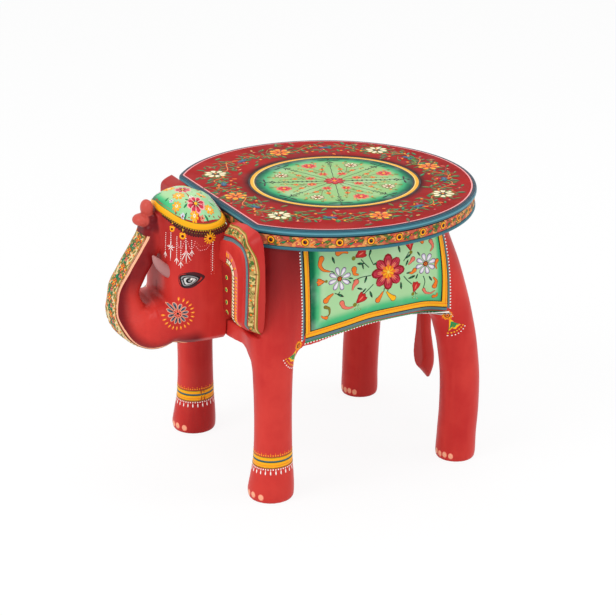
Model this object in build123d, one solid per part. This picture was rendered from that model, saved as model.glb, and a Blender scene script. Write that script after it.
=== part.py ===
from build123d import *
import math
import os

# Carved and painted wooden elephant stool. Millimetres, +Z up, the elephant faces -Y.
# The model is drawn from the centre of the round seat, and moved at the end so that
# the origin is the middle of its footprint, on the floor.

# Overall heights
seat_height = 300.0
cap_height = 316.0
belly_height = 165.0

# Seat board: a disc with a straight front edge and a moulded rim
seat_radius = 160.6
seat_front = 129.9
seat_corner_radius = 6.0
top_bead = 7.0
rim_band = 12.2
bottom_bead = 3.5
band_inset = 2.2
bottom_bead_inset = 1.0
bead_flat = 0.2

# Trunk reach, from the seat's centre to the foremost point of the trunk
trunk_reach = 250.0

# Torso: half widths at three heights, and the reach of its chest and rump
waist_height = 215.0
belly_half_width = 108.0
waist_half_width = 113.0
back_half_width = 108.0
chest_reach = 139.0
belly_rump_reach = 122.0
waist_rump_reach = 120.0
back_rump_reach = 104.0
body_corner_radius = 48.0
belly_arch_rise = 13.5
belly_arch_half_span = 104.0
belly_arch_centre = 35.0
ledge_height = 183.0

# Glue lines between the torso and the four leg blocks
glue_line_side = 66.0
glue_line_front = 72.0
glue_line_rear = 48.0

# Front legs: straight from the floor to the elbow, then leaning in to the shoulder
front_leg_x = 99.1
front_leg_y = 114.0
front_leg_radius = 19.8
front_foot_radius = 23.4
front_elbow_height = 138.0
front_shoulder_x = 80.0
front_shoulder_y = 100.0
front_shoulder_radius = 28.0

# Rear legs: bowed back at the knee, then leaning in and forwards to the hip
rear_leg_x = 101.5
rear_leg_y = 103.0
rear_leg_radius = 20.6
rear_foot_radius = 21.4
rear_knee_height = 95.0
rear_knee_x = 104.0
rear_knee_y = 107.0
rear_hip_x = 78.0
rear_hip_y = 58.0
rear_hip_radius = 26.0
rear_hip_flatness = 0.85
foot_edge_height = 8.0
foot_edge_inset = 1.2

# Head block: half widths at three heights, and how round its corners are there
jaw_height = 162.0
head_front = 198.0
jaw_edge = 10.0
jaw_half_width = 39.0
cheek_half_width = 45.8
brow_half_width = 43.4
cheek_height = 200.0
brow_drop = 73.0
jaw_corner = 14.0
cheek_corner = 22.0
brow_corner = 27.0

# Cap: a dome on the round crown, its rim high in front and low at the sides
cap_radius = 48.0
cap_rim_width = 4.6
cap_rim_proud = 0.8
cap_rim_front_drop = 11.6
cap_rim_side_drop = 27.0
cap_dome_depth = 40.0

# Trunk: under the jaw, round a bend, then up to touch the brow
trunk_pad = 0.5
trunk_root_overlap = 22.0
trunk_root_height = 184.0
trunk_root_half_width = 43.0
trunk_root_half_depth = 22.5
trunk_bend_half_depth = 24.5
trunk_bend_radius = 30.5
trunk_bend_height = 210.0
trunk_bend_angle = 98.0
trunk_half_width = 16.5
trunk_half_depth = 12.2
trunk_tip_half_width = 12.5
trunk_tip_half_depth = 9.5
trunk_tip_height = 301.0
trunk_tip_gap = 1.5
trunk_touch_height = 279.0
trunk_touch_gap = 5.0
trunk_lobe_radius = 8.5

# Ears
ear_inner = 47.5
ear_outer = 121.0
ear_top = 297.0
ear_top_slope = 6.0
ear_thickness = 13.0
ear_edge_radius = 8.0
ear_heel_radius = 14.0
ear_shoulder_radius = 20.0
ear_fold_rise = 3.0
ear_fold_edge = 2.0
ear_fold_outer = 101.0
ear_fold_top = 277.0
ear_fold_corner = 14.0
ear_hollow_outer = 72.0
ear_hollow_top = 250.0
ear_hollow_corner = 8.0

# Tusks
tusk_x = 24.0
tusk_height = 231.0
tusk_length = 33.0
tusk_lean = 21.0
tusk_root_radius = 5.5
tusk_tip_radius = 1.8
tusk_seat_depth = 2.5

# Tail
tail_root_height = 218.0
tail_tip_height = 50.0
tail_radius = 8.0
tail_tuft_radius = 13.0
tail_pad = 2.0

# Hidden joinery
dowel_clearance = 0.15
dowel_end_clearance = 0.5
seat_dowel_radius = 5.0
seat_dowel_length = 34.0
seat_dowel_depth = 12.0
leg_dowel_radius = 5.0
leg_dowel_length = 44.0
head_dowel_radius = 6.0
head_dowel_length = 56.0
trunk_dowel_radius = 4.0
trunk_dowel_length = 30.0
ear_dowel_radius = 2.5
ear_dowel_length = 18.0
tusk_tenon_radius = 3.0
tusk_tenon_length = 12.0
tail_dowel_radius = 3.0
tail_dowel_length = 22.0
seating_gap = 0.3

# Worked out from the sizes above
seat_thickness = top_bead + rim_band + bottom_bead
underside = seat_height - seat_thickness
front_face = seat_front + seating_gap
cap_middle = cap_radius + trunk_pad - head_front
beyond = 2 * seat_radius


def space(x_low, x_high, y_low, y_high, z_low, z_high):
    """A cutting block between six limits."""
    size = (x_high - x_low, y_high - y_low, z_high - z_low)
    middle = Pos((x_low + x_high) / 2, (y_low + y_high) / 2, (z_low + z_high) / 2)
    return middle * Box(*size)


def rod(start, direction, radius, length):
    """A round rod from a start point."""
    base = Plane(origin=start, z_dir=direction)
    return extrude(base * Circle(radius), length)


def dowel(middle, direction, radius, length):
    """A round dowel, centred on the glue line that it crosses."""
    axis = Vector(*direction).normalized()
    return rod(Vector(*middle) - axis * (length / 2), axis, radius, length)


def dowel_bore(middle, direction, radius, length):
    """The hole that a dowel sits in, with its clearances."""
    wide = radius + dowel_clearance
    return dowel(middle, direction, wide, length + 2 * dowel_end_clearance)


def both_sides(shape):
    """A shape and its mirror image across the middle of the stool."""
    return [shape, mirror(shape, about=Plane.YZ)]


def cut_all(shape, tools):
    """A shape with every tool taken out of it."""
    for tool in tools:
        shape = shape - tool
    return shape


# ---------------------------------------------------------------- seat


def seat_layer(inset, low, thickness):
    """One layer of the rim, with rounded edges."""
    disc = Circle(seat_radius - inset)
    keep = Pos(0, seat_radius - seat_front + inset) * Rectangle(beyond, beyond)
    outline = fillet((disc & keep).vertices(), seat_corner_radius)
    return Pos(0, 0, low) * extrude(outline, thickness)


def make_seat():
    """The seat board: a half-round top bead, a flat band and a small bottom bead."""
    lower = seat_layer(bottom_bead_inset, underside, bottom_bead)
    lower = fillet(lower.edges().group_by(Axis.Z)[0], bottom_bead / 2 - bead_flat)
    band = seat_layer(band_inset, underside + bottom_bead, rim_band)
    bead = seat_layer(0, seat_height - top_bead, top_bead)
    bead_edges = bead.edges().group_by(Axis.Z)
    bead = fillet(bead_edges[0] + bead_edges[-1], top_bead / 2 - bead_flat)
    return lower + band + bead


# ---------------------------------------------------------------- torso and legs


def body_section(height, half_width, rear):
    """A level slice of the torso block."""
    outline = RectangleRounded(2 * half_width, chest_reach + rear, body_corner_radius)
    return Pos(0, (rear - chest_reach) / 2, height) * outline


def make_body_block():
    """The glued block that the torso and the tops of the legs are carved from."""
    block = loft(
        [
            body_section(belly_height, belly_half_width, belly_rump_reach),
            body_section(waist_height, waist_half_width, waist_rump_reach),
            body_section(underside, back_half_width, back_rump_reach),
        ]
    )
    rise, half = belly_arch_rise, belly_arch_half_span
    arch_radius = (half**2 + rise**2) / (2 * rise)
    arch_centre = (-seat_radius, belly_arch_centre, belly_height + rise - arch_radius)
    block = block - rod(arch_centre, (1, 0, 0), arch_radius, beyond)
    housing = space(-beyond, beyond, -beyond, -front_face, ledge_height, beyond)
    return block - housing


def leg_section(height, x, y, radius, flatness=1.0):
    """A level slice of a leg, narrower across the stool where it is flattened."""
    return Pos(x, y, height) * Ellipse(radius * flatness, radius)


def between(start, end, share):
    """A value that lies a share of the way from a start to an end."""
    return start + (end - start) * share


def make_front_leg_post():
    """The left front leg, from its flared foot into the shoulder."""
    x, y = front_leg_x, -front_leg_y
    foot, shank = front_foot_radius, front_leg_radius
    ankle_height = front_elbow_height / 3
    sections = [
        leg_section(0, x, y, foot - foot_edge_inset),
        leg_section(foot_edge_height, x, y, foot),
        leg_section(ankle_height, x, y, between(shank, foot, 0.25)),
        leg_section(2 * ankle_height, x, y, shank),
        leg_section(front_elbow_height, x, y, between(shank, foot, 0.3)),
    ]
    for rise in (0.25, 0.55, 1.0):
        height = between(front_elbow_height, underside, rise)
        lean = rise**1.25
        middle_x = between(x, front_shoulder_x, lean)
        middle_y = between(y, -front_shoulder_y, lean)
        radius = between(shank, front_shoulder_radius, min(0.25 + 1.4 * rise, 1))
        sections.append(leg_section(height, middle_x, middle_y, radius))
    return loft(sections)


def make_rear_leg_post():
    """The left rear leg, bowed back at the knee under the rump."""
    foot, shank = rear_foot_radius, rear_leg_radius
    sections = [
        leg_section(0, rear_leg_x, rear_leg_y, foot - foot_edge_inset),
        leg_section(foot_edge_height, rear_leg_x, rear_leg_y, foot),
    ]
    for bow in (0.45, 1.0):
        middle_x = between(rear_leg_x, rear_knee_x, bow)
        middle_y = between(rear_leg_y, rear_knee_y, bow)
        sections.append(leg_section(bow * rear_knee_height, middle_x, middle_y, shank))
    for rise in (0.2, 0.42, 0.65, 0.88, 1.0):
        height = between(rear_knee_height, underside, rise)
        middle_x = between(rear_knee_x, rear_hip_x, rise**2.5)
        middle_y = between(rear_knee_y, rear_hip_y, rise**2)
        radius = between(shank, rear_hip_radius, rise**0.7)
        flatness = between(1, rear_hip_flatness, min(2 * rise, 1))
        sections.append(leg_section(height, middle_x, middle_y, radius, flatness))
    return loft(sections)


def corner_spaces():
    """The corner of the block that each left leg is cut from: front, then rear."""
    front = space(glue_line_side, beyond, -beyond, -glue_line_front, -1, underside)
    rear = space(glue_line_side, beyond, glue_line_rear, beyond, -1, underside)
    return front, rear


def leg_dowel_places():
    """Middles of the level dowels that cross the side glue lines, left side."""
    shoulder = -(glue_line_front + front_leg_y) / 2
    hip = (glue_line_rear + waist_rump_reach) / 2 - leg_dowel_radius
    low = ledge_height + 2 * leg_dowel_radius
    high = underside - 7 * leg_dowel_radius
    return [(glue_line_side, y, z) for y in (shoulder, hip) for z in (low, high)]


def seat_dowel_places():
    """Middles of the upright dowels between the leg blocks and the seat."""
    middle = underside + seat_dowel_depth - seat_dowel_length / 2
    x = glue_line_side + 3 * seat_dowel_radius
    shoulder = -glue_line_front - 4 * seat_dowel_radius
    hip = glue_line_rear + 3 * seat_dowel_radius
    return [(side * x, y, middle) for side in (1, -1) for y in (shoulder, hip)]


# ---------------------------------------------------------------- head and trunk


def head_section(height, half_width, corner):
    """A level slice of the head, centred under the cap."""
    outline = RectangleRounded(2 * half_width, 2 * cap_radius, corner)
    return Pos(0, cap_middle, height) * outline


def cap_dome(drop=0.0):
    """The cap's dome: an ellipsoid whose edge on the crown is highest in front."""

    def reach(rim_drop):
        level = 1 - rim_drop / cap_dome_depth
        return cap_radius / math.sqrt(1 - level**2)

    radii = (reach(cap_rim_side_drop), reach(cap_rim_front_drop), cap_dome_depth)
    middle = (0, cap_middle, cap_height - cap_dome_depth - drop)
    return Pos(*middle) * scale(Sphere(1), by=radii)


def round_crown(radius):
    """A round column at the top of the head, cut off by the cap's dome."""
    middle = Pos(0, cap_middle, cap_height - cap_dome_depth)
    return extrude(middle * Circle(radius), cap_dome_depth) & cap_dome()


def make_head_block():
    """The head: jaw, cheeks, brow and round crown, under a cap with a proud rim."""
    crown_radius = cap_radius - cap_rim_proud
    block = loft(
        [
            head_section(jaw_height, jaw_half_width, jaw_corner),
            head_section(jaw_height + jaw_edge, cheek_half_width - 1, cheek_corner - 2),
            head_section(cheek_height, cheek_half_width, cheek_corner),
            head_section(cap_height - brow_drop, brow_half_width, brow_corner),
            head_section(cap_height - cap_dome_depth, crown_radius, 0.96 * crown_radius),
        ]
    )
    rim = round_crown(cap_radius) - cap_dome(cap_rim_width)
    return block + round_crown(crown_radius) + rim


def trunk_section(y, z, angle, half_width, half_depth):
    """A slice across the trunk, whose line leaves it at an angle above straight ahead."""
    heading = Vector(0, -math.cos(angle), math.sin(angle))
    plane = Plane(origin=(0, y, z), x_dir=(1, 0, 0), z_dir=heading)
    corner = 0.84 * min(half_depth, half_width)
    return plane * RectangleRounded(2 * half_width, 2 * half_depth, corner)


def trunk_root_section(y, sag=0.0):
    """A slice across the root of the trunk, which sags a little from jaw to bend."""
    height = between(trunk_root_height, trunk_bend_height - trunk_bend_radius, sag)
    half_depth = between(trunk_root_half_depth, trunk_bend_half_depth, sag)
    return trunk_section(y, height, 0, trunk_root_half_width, half_depth)


def trunk_bend_sections(middle_y):
    """Slices round the bend below the jaw, each narrower and thinner than the last."""
    sections = []
    steps = ((0, 0.06, 0), (0.3, 0.36, 0.08), (0.63, 0.68, 0.52), (1, 0.9, 0.88))
    for share, narrowing, thinning in steps:
        angle = math.radians(trunk_bend_angle * share)
        y = middle_y - trunk_bend_radius * math.sin(angle)
        z = trunk_bend_height - trunk_bend_radius * math.cos(angle)
        half_width = between(trunk_root_half_width, trunk_half_width, narrowing)
        half_depth = between(trunk_bend_half_depth, trunk_half_depth, thinning)
        sections.append(trunk_section(y, z, angle, half_width, half_depth))
    return sections, y, z


def make_trunk_strip():
    """The trunk: wide at the jaw, round the bend, then up to touch the brow."""
    arm, arm_deep = trunk_half_width, trunk_half_depth
    front_depth = between(trunk_bend_half_depth, arm_deep, 0.8)
    middle_y = -(trunk_reach - trunk_bend_radius - front_depth)
    root_y = trunk_root_overlap - head_front
    steps = max(1, round((root_y - middle_y) / trunk_bend_half_depth))
    shares = [i / steps for i in range(steps)]
    sections = [trunk_root_section(between(root_y, middle_y, share), share) for share in shares]
    bend, y, z = trunk_bend_sections(middle_y)
    sections += bend
    touch_y = -head_front - trunk_touch_gap
    tip_y = -head_front - trunk_tip_gap
    lean = math.atan2(trunk_touch_height - z, y - touch_y)
    for share in (0.36, 0.7):
        middle = (between(y, touch_y, share), between(z, trunk_touch_height, share))
        sections.append(trunk_section(*middle, lean, arm, arm_deep))
    upright = math.pi / 2
    steep = between(upright, lean, 0.4)
    near_tip = between(trunk_touch_height, trunk_tip_height, 0.6)
    half_width = between(arm, trunk_tip_half_width, 0.5)
    half_depth = between(arm_deep, trunk_tip_half_depth, 0.3)
    sections += [
        trunk_section(touch_y, trunk_touch_height, steep, arm, arm_deep),
        trunk_section(tip_y, near_tip, upright, half_width, half_depth),
        trunk_section(
            tip_y, trunk_tip_height, upright, trunk_tip_half_width, trunk_tip_half_depth
        ),
    ]
    lobe = Sphere(trunk_lobe_radius)
    lower = (0, tip_y - 1.6 * trunk_lobe_radius, trunk_tip_height - 1.3 * trunk_lobe_radius)
    upper = (0, tip_y - trunk_lobe_radius, trunk_tip_height + 0.2 * trunk_lobe_radius)
    trunk = loft(sections) + Pos(*lower) * lobe + Pos(*upper) * lobe
    behind_face = space(-beyond, beyond, -head_front, beyond, 0, 2 * beyond)
    return trunk - behind_face


def make_head():
    """The carved head, flat where the seat board, the chest and the trunk meet it."""
    root_slices = [trunk_root_section(trunk_root_overlap - head_front)]
    root_slices.append(trunk_root_section(-head_front))
    behind_board = space(-beyond, beyond, -front_face, beyond, 0, 2 * beyond)
    under_chest = space(-beyond, beyond, -chest_reach, beyond, 0, ledge_height)
    return make_head_block() + loft(root_slices) - behind_board - under_chest


def head_dowel_places():
    """Middles of the dowels between the torso and the head, one over the other."""
    low = ledge_height + 4 * head_dowel_radius
    high = underside - 3 * head_dowel_radius
    return [(0, -front_face, low), (0, -front_face, high)]


def trunk_dowel_places():
    """Middles of the dowels between the head and the root of the trunk."""
    x = trunk_root_half_width / 2
    height = (jaw_height + ledge_height) / 2 + 2 * trunk_dowel_radius
    return [(x, -head_front, height), (-x, -head_front, height)]


# ---------------------------------------------------------------- ears


def ear_outline():
    """Outline of the left ear, seen from the front: x across, z up."""
    side_low = (ear_outer - 2, ledge_height + ear_heel_radius)
    side_high = (ear_outer - 2, ear_top - ear_shoulder_radius)
    side_middle = (ear_outer, (side_low[1] + side_high[1]) / 2)
    heel_start = (ear_outer - 2 - ear_heel_radius, ledge_height)
    top_end = (ear_outer - 2 - ear_shoulder_radius, ear_top)
    inner_top = (ear_inner, ear_top - ear_top_slope)
    half = math.sqrt(0.5)
    heel_middle = (
        heel_start[0] + half * ear_heel_radius,
        side_low[1] - half * ear_heel_radius,
    )
    shoulder_middle = (
        top_end[0] + half * ear_shoulder_radius,
        side_high[1] + half * ear_shoulder_radius,
    )
    bottom = Line((ear_inner, ledge_height), heel_start)
    heel = ThreePointArc(heel_start, heel_middle, side_low)
    side = ThreePointArc(side_low, side_middle, side_high)
    shoulder = ThreePointArc(side_high, shoulder_middle, top_end)
    top_middle = (between(ear_inner, top_end[0], 0.5), ear_top - 0.35 * ear_top_slope)
    top_edge = ThreePointArc(top_end, top_middle, inner_top)
    inner_edge = Line(inner_top, (ear_inner, ledge_height))
    return make_face([bottom, heel, side, shoulder, top_edge, inner_edge])


def ear_corner_area(outer, top, corner):
    """An area from the ear's inner foot to one rounded upper corner."""
    low = ledge_height + ear_edge_radius / 2
    middle = Pos((ear_inner + outer) / 2, (low + top) / 2)
    area = middle * Rectangle(outer - ear_inner, top - low)
    return fillet(area.vertices().sort_by(Axis.X)[-2:].sort_by(Axis.Y)[-1], corner)


def make_ear():
    """The left ear: a slab with a rolled rim, and a raised fold round its hollow."""
    front = Plane(origin=(0, -front_face, 0), x_dir=(1, 0, 0), z_dir=(0, -1, 0))
    slab = extrude(front * ear_outline(), ear_thickness)
    rim = slab.edges().group_by(Axis.Y)[0]
    slab = fillet(rim.sort_by(Axis.X)[1:], ear_edge_radius)
    fold_area = ear_corner_area(ear_fold_outer, ear_fold_top, ear_fold_corner)
    hollow_area = ear_corner_area(ear_hollow_outer, ear_hollow_top, ear_hollow_corner)
    fold_face = front.offset(ear_thickness - ear_fold_edge) * (fold_area - hollow_area)
    fold = extrude(fold_face, ear_fold_edge + ear_fold_rise)
    fold_edges = fold.edges().group_by(Axis.Y)[0]
    fold = chamfer(fold_edges, ear_fold_edge)
    return slab + fold


def ear_dowel_places():
    """Middles of the small dowels that pin the left ear to the shoulder."""
    x = (glue_line_side + ear_outer) / 2 - 2 * ear_dowel_radius
    low = ledge_height + 6 * ear_dowel_radius
    high = underside - 6 * ear_dowel_radius
    return [(x, -front_face, low), (x, -front_face, high)]


# ---------------------------------------------------------------- tusks and tail


def tusk_section(middle, direction, half_width, stretch, clearance=0.0):
    """A slice across the tusk, a rounded shape taller than it is wide."""
    plane = Plane(origin=middle, x_dir=(1, 0, 0), z_dir=direction)
    corner = 0.9 * half_width + clearance
    width = 2 * (half_width + clearance)
    height = 2 * (half_width * stretch + clearance)
    return plane * RectangleRounded(width, height, corner)


def tusk_root_slice(clearance=0.0):
    """The slice where the left tusk leaves the face."""
    root = (tusk_x, -head_front, tusk_height)
    return tusk_section(root, (0, 1, 0), tusk_root_radius, 1.4, clearance)


def make_tusk():
    """The left tusk: it is let into the face and curves up, with a tenon behind it."""
    lean = math.radians(tusk_lean)
    reach = tusk_length * math.sin(lean)
    rise = tusk_length * math.cos(lean)
    root = Vector(tusk_x, -head_front, tusk_height)
    bend_direction = (0, -math.cos(math.pi / 4), math.sin(math.pi / 4))
    tip_direction = (0, -math.sin(lean), math.cos(lean))
    bend = root + Vector(0, -0.6 * reach, 0.35 * rise)
    tip = root + Vector(0, -reach, rise)
    tusk = loft(
        [
            tusk_section(root, (0, -1, 0), tusk_root_radius, 1.4),
            tusk_section(bend, bend_direction, 0.8 * tusk_root_radius, 1.2),
            tusk_section(tip, tip_direction, tusk_tip_radius, 1.0),
        ]
    )
    stub = extrude(tusk_root_slice(), tusk_seat_depth)
    tenon_length = tusk_seat_depth + tusk_tenon_length
    return tusk + stub + rod(root, (0, 1, 0), tusk_tenon_radius, tenon_length)


def tusk_socket():
    """The socket for the left tusk's root and tenon."""
    start = (tusk_x, -head_front, tusk_height)
    depth = tusk_seat_depth + tusk_tenon_length + dowel_end_clearance
    bore = rod(start, (0, 1, 0), tusk_tenon_radius + dowel_clearance, depth)
    return bore + extrude(tusk_root_slice(dowel_clearance), tusk_seat_depth)


def tail_section(height, y, radius, flatness=1.0):
    """A level slice of the tail."""
    return Pos(0, y, height) * Ellipse(radius, radius * flatness)


def make_tail(pad_face):
    """The tail: a cord that hangs from the rump and ends in a pointed tuft."""
    seat = pad_face + 0.6 * tail_radius
    hang = pad_face + tail_radius
    length = tail_root_height - tail_tip_height
    tuft_height = tail_tip_height + 0.2 * length
    tail = loft(
        [
            tail_section(tail_root_height + tail_radius, seat, 0.5 * tail_radius),
            tail_section(tail_root_height, seat, tail_radius),
            tail_section(tail_root_height - 0.3 * length, hang + 1, tail_radius - 1),
            tail_section(tail_root_height - 0.55 * length, hang - 1, tail_radius),
            tail_section(tuft_height, hang - 1, tail_tuft_radius, 0.9),
            tail_section(tail_tip_height + 0.08 * length, hang + 2, 0.6 * tail_tuft_radius),
            tail_section(tail_tip_height, hang + 4, 1.5),
        ]
    )
    return tail - space(-beyond, beyond, -beyond, pad_face, belly_height, beyond)


# ---------------------------------------------------------------- assembly


def build_parts():
    """Every sub-part by name, drawn from the centre of the seat."""
    body_block = make_body_block()
    front_post = make_front_leg_post()
    rear_post = make_rear_leg_post()
    front_space, rear_space = corner_spaces()
    housing = space(-beyond, beyond, -beyond, -front_face, ledge_height, beyond)
    front_leg = ((body_block + front_post) & front_space) - housing
    rear_leg = (body_block + rear_post) & rear_space
    corners = both_sides(front_space) + both_sides(rear_space)
    torso = cut_all(body_block, corners)

    pad_face = waist_rump_reach - tail_pad
    pad_half = 2 * tail_radius
    pad_high = tail_root_height + pad_half
    torso = torso - space(-pad_half, pad_half, pad_face, beyond, 0, pad_high)

    places = leg_dowel_places()
    leg_bores = [dowel_bore(p, (1, 0, 0), leg_dowel_radius, leg_dowel_length) for p in places]
    left_leg_dowels = [dowel(p, (1, 0, 0), leg_dowel_radius, leg_dowel_length) for p in places]
    seat_places = seat_dowel_places()
    seat_bores = [
        dowel_bore(p, (0, 0, 1), seat_dowel_radius, seat_dowel_length) for p in seat_places
    ]
    ear_bores = [
        dowel_bore(p, (0, 1, 0), ear_dowel_radius, ear_dowel_length) for p in ear_dowel_places()
    ]
    head_bores = [
        dowel_bore(p, (0, 1, 0), head_dowel_radius, head_dowel_length)
        for p in head_dowel_places()
    ]
    trunk_bores = [
        dowel_bore(p, (0, 1, 0), trunk_dowel_radius, trunk_dowel_length)
        for p in trunk_dowel_places()
    ]
    tail_place = (0, pad_face, tail_root_height)
    tail_bore = dowel_bore(tail_place, (0, 1, 0), tail_dowel_radius, tail_dowel_length)

    front_leg = cut_all(front_leg, leg_bores + seat_bores + ear_bores)
    rear_leg = cut_all(rear_leg, leg_bores + seat_bores)
    all_leg_bores = [side for bore in leg_bores for side in both_sides(bore)]
    torso = cut_all(torso, all_leg_bores + head_bores + [tail_bore])
    seat = cut_all(make_seat(), seat_bores)

    tusk = make_tusk()
    head = cut_all(make_head(), head_bores + trunk_bores + both_sides(tusk_socket()))
    trunk = cut_all(make_trunk_strip(), trunk_bores)
    ear = cut_all(make_ear(), ear_bores)
    tail = make_tail(pad_face) - tail_bore

    left_ear_dowels = [
        dowel(p, (0, 1, 0), ear_dowel_radius, ear_dowel_length) for p in ear_dowel_places()
    ]
    parts = {
        "seat_board": [seat],
        "torso": [torso],
        "front_leg_left": [front_leg],
        "front_leg_right": [mirror(front_leg, about=Plane.YZ)],
        "rear_leg_left": [rear_leg],
        "rear_leg_right": [mirror(rear_leg, about=Plane.YZ)],
        "head": [head],
        "trunk": [trunk],
        "ear_left": [ear],
        "ear_right": [mirror(ear, about=Plane.YZ)],
        "tusk_left": [tusk],
        "tusk_right": [mirror(tusk, about=Plane.YZ)],
        "tail": [tail],
        "seat_dowels": [
            dowel(p, (0, 0, 1), seat_dowel_radius, seat_dowel_length) for p in seat_places
        ],
        "leg_dowels": [side for pin in left_leg_dowels for side in both_sides(pin)],
        "ear_dowels": [side for pin in left_ear_dowels for side in both_sides(pin)],
        "head_dowels": [
            dowel(p, (0, 1, 0), head_dowel_radius, head_dowel_length)
            for p in head_dowel_places()
        ],
        "trunk_dowels": [
            dowel(p, (0, 1, 0), trunk_dowel_radius, trunk_dowel_length)
            for p in trunk_dowel_places()
        ],
        "tail_dowel": [dowel(tail_place, (0, 1, 0), tail_dowel_radius, tail_dowel_length)],
    }
    return parts


def main():
    pieces = {}
    for name, shapes in build_parts().items():
        solids = [solid for shape in shapes for solid in shape.solids()]
        pieces[name] = solids[0] if len(solids) == 1 else Compound(solids)
    boxes = [piece.bounding_box() for piece in pieces.values()]
    front = min(box.min.Y for box in boxes)
    rear = max(box.max.Y for box in boxes)
    to_middle = Pos(0, -(front + rear) / 2, 0)
    print("seat centre at y =", round(-(front + rear) / 2, 3), "length", round(rear - front, 3))
    os.makedirs("parts", exist_ok=True)
    for name, piece in pieces.items():
        export_step(to_middle * piece, f"parts/{name}.step")


main()
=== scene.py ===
import math
import random

import bpy
import numpy as np
import openvdb
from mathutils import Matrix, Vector
from mathutils.bvhtree import BVHTree


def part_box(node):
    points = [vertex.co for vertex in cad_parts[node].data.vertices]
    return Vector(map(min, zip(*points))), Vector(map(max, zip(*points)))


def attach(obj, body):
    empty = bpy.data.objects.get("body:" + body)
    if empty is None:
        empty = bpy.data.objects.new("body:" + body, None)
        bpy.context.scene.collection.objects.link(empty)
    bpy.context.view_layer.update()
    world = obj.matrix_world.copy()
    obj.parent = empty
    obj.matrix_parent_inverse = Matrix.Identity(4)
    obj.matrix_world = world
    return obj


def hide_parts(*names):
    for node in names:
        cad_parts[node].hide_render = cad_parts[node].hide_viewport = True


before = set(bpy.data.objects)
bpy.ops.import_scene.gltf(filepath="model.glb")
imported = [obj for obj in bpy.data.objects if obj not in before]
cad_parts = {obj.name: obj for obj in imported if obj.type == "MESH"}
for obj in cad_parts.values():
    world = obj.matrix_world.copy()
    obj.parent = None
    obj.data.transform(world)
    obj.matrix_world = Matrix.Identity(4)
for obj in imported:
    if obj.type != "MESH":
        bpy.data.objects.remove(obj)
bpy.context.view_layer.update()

# Shapes are worked out in millimetres from the centre of the round seat, with the floor
# at z = 0 and the elephant facing -Y, and put into the frame when their meshes are made.
seat_low, seat_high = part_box("seat_board")
SEAT_RADIUS = 1000 * (seat_high[0] - seat_low[0]) / 2
SEAT_Y = 1000 * seat_high[1] - SEAT_RADIUS
SEAT_TOP = 1000 * seat_high[2]
UNDERSIDE = 1000 * seat_low[2]
SEAT_FRONT = SEAT_Y - 1000 * seat_low[1]
HEAD_FRONT = SEAT_Y - 1000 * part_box("head")[0][1]
TRUNK_REACH = SEAT_Y - 1000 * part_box("trunk")[0][1]
JAW = 1000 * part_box("head")[0][2]
CAP_TOP = 1000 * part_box("head")[1][2]
GLUE_FACE = SEAT_Y - 1000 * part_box("ear_left")[1][1]
FILM = 0.12
rng = random.Random(7)


# ------------------------------------------------------------------ meshes


def to_frame(points):
    """Millimetres from the seat's centre, as metres in the frame."""
    points = np.array(points, dtype=float)
    points[:, 1] += SEAT_Y
    return points / 1000


def add_object(name, data):
    """An object in the scene with this mesh, camera or light."""
    made = bpy.data.objects.new(name, data)
    bpy.context.scene.collection.objects.link(made)
    return made


def make_mesh(name, points, faces):
    """A smooth mesh object from points in millimetres and lists of corners."""
    mesh = bpy.data.meshes.new(name)
    mesh.from_pydata(to_frame(points).tolist(), [], [list(map(int, f)) for f in faces])
    mesh.polygons.foreach_set("use_smooth", [True] * len(mesh.polygons))
    return add_object(name, mesh)


def finish_piece(piece, materials, nodes=()):
    """Hangs a piece on the root, gives it its materials and hides the nodes it stands for."""
    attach(piece, "root")
    if nodes:
        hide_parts(*nodes)
    piece.data.materials.clear()
    for material in materials:
        piece.data.materials.append(material)


def copy_of(piece, name):
    """A separate copy of a piece under a name of its own."""
    return add_object(name, piece.data.copy())


def tree_from(points, faces):
    """A carved surface to cast rays on."""
    return BVHTree.FromPolygons(points.tolist(), faces.tolist())


def cut_with_box(piece, low, high, operation):
    """Keeps (INTERSECT) or removes (DIFFERENCE) what lies in a box in millimetres."""
    (x0, y0, z0), (x1, y1, z1) = low, high
    corners = [(x, y, z) for x in (x0, x1) for y in (y0, y1) for z in (z0, z1)]
    sides = [(0, 1, 3, 2), (4, 6, 7, 5), (0, 4, 5, 1), (2, 3, 7, 6), (0, 2, 6, 4), (1, 5, 7, 3)]
    cutter = make_mesh("cutter", corners, sides)
    cut = piece.modifiers.new("cut", "BOOLEAN")
    cut.object, cut.operation, cut.solver = cutter, operation, "MANIFOLD"
    graph = bpy.context.evaluated_depsgraph_get()
    mesh = bpy.data.meshes.new_from_object(piece.evaluated_get(graph))
    piece.modifiers.clear()
    old, piece.data = piece.data, mesh
    bpy.data.meshes.remove(old)
    bpy.data.objects.remove(cutter)
    return piece


def sharpen(piece, degrees=38):
    """Smooth shading with sharp edges where faces meet at more than an angle."""
    mesh = piece.data
    mesh.polygons.foreach_set("use_smooth", [True] * len(mesh.polygons))
    mesh.set_sharp_from_angle(angle=math.radians(degrees))


# ------------------------------------------------------------------ carved forms


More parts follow.
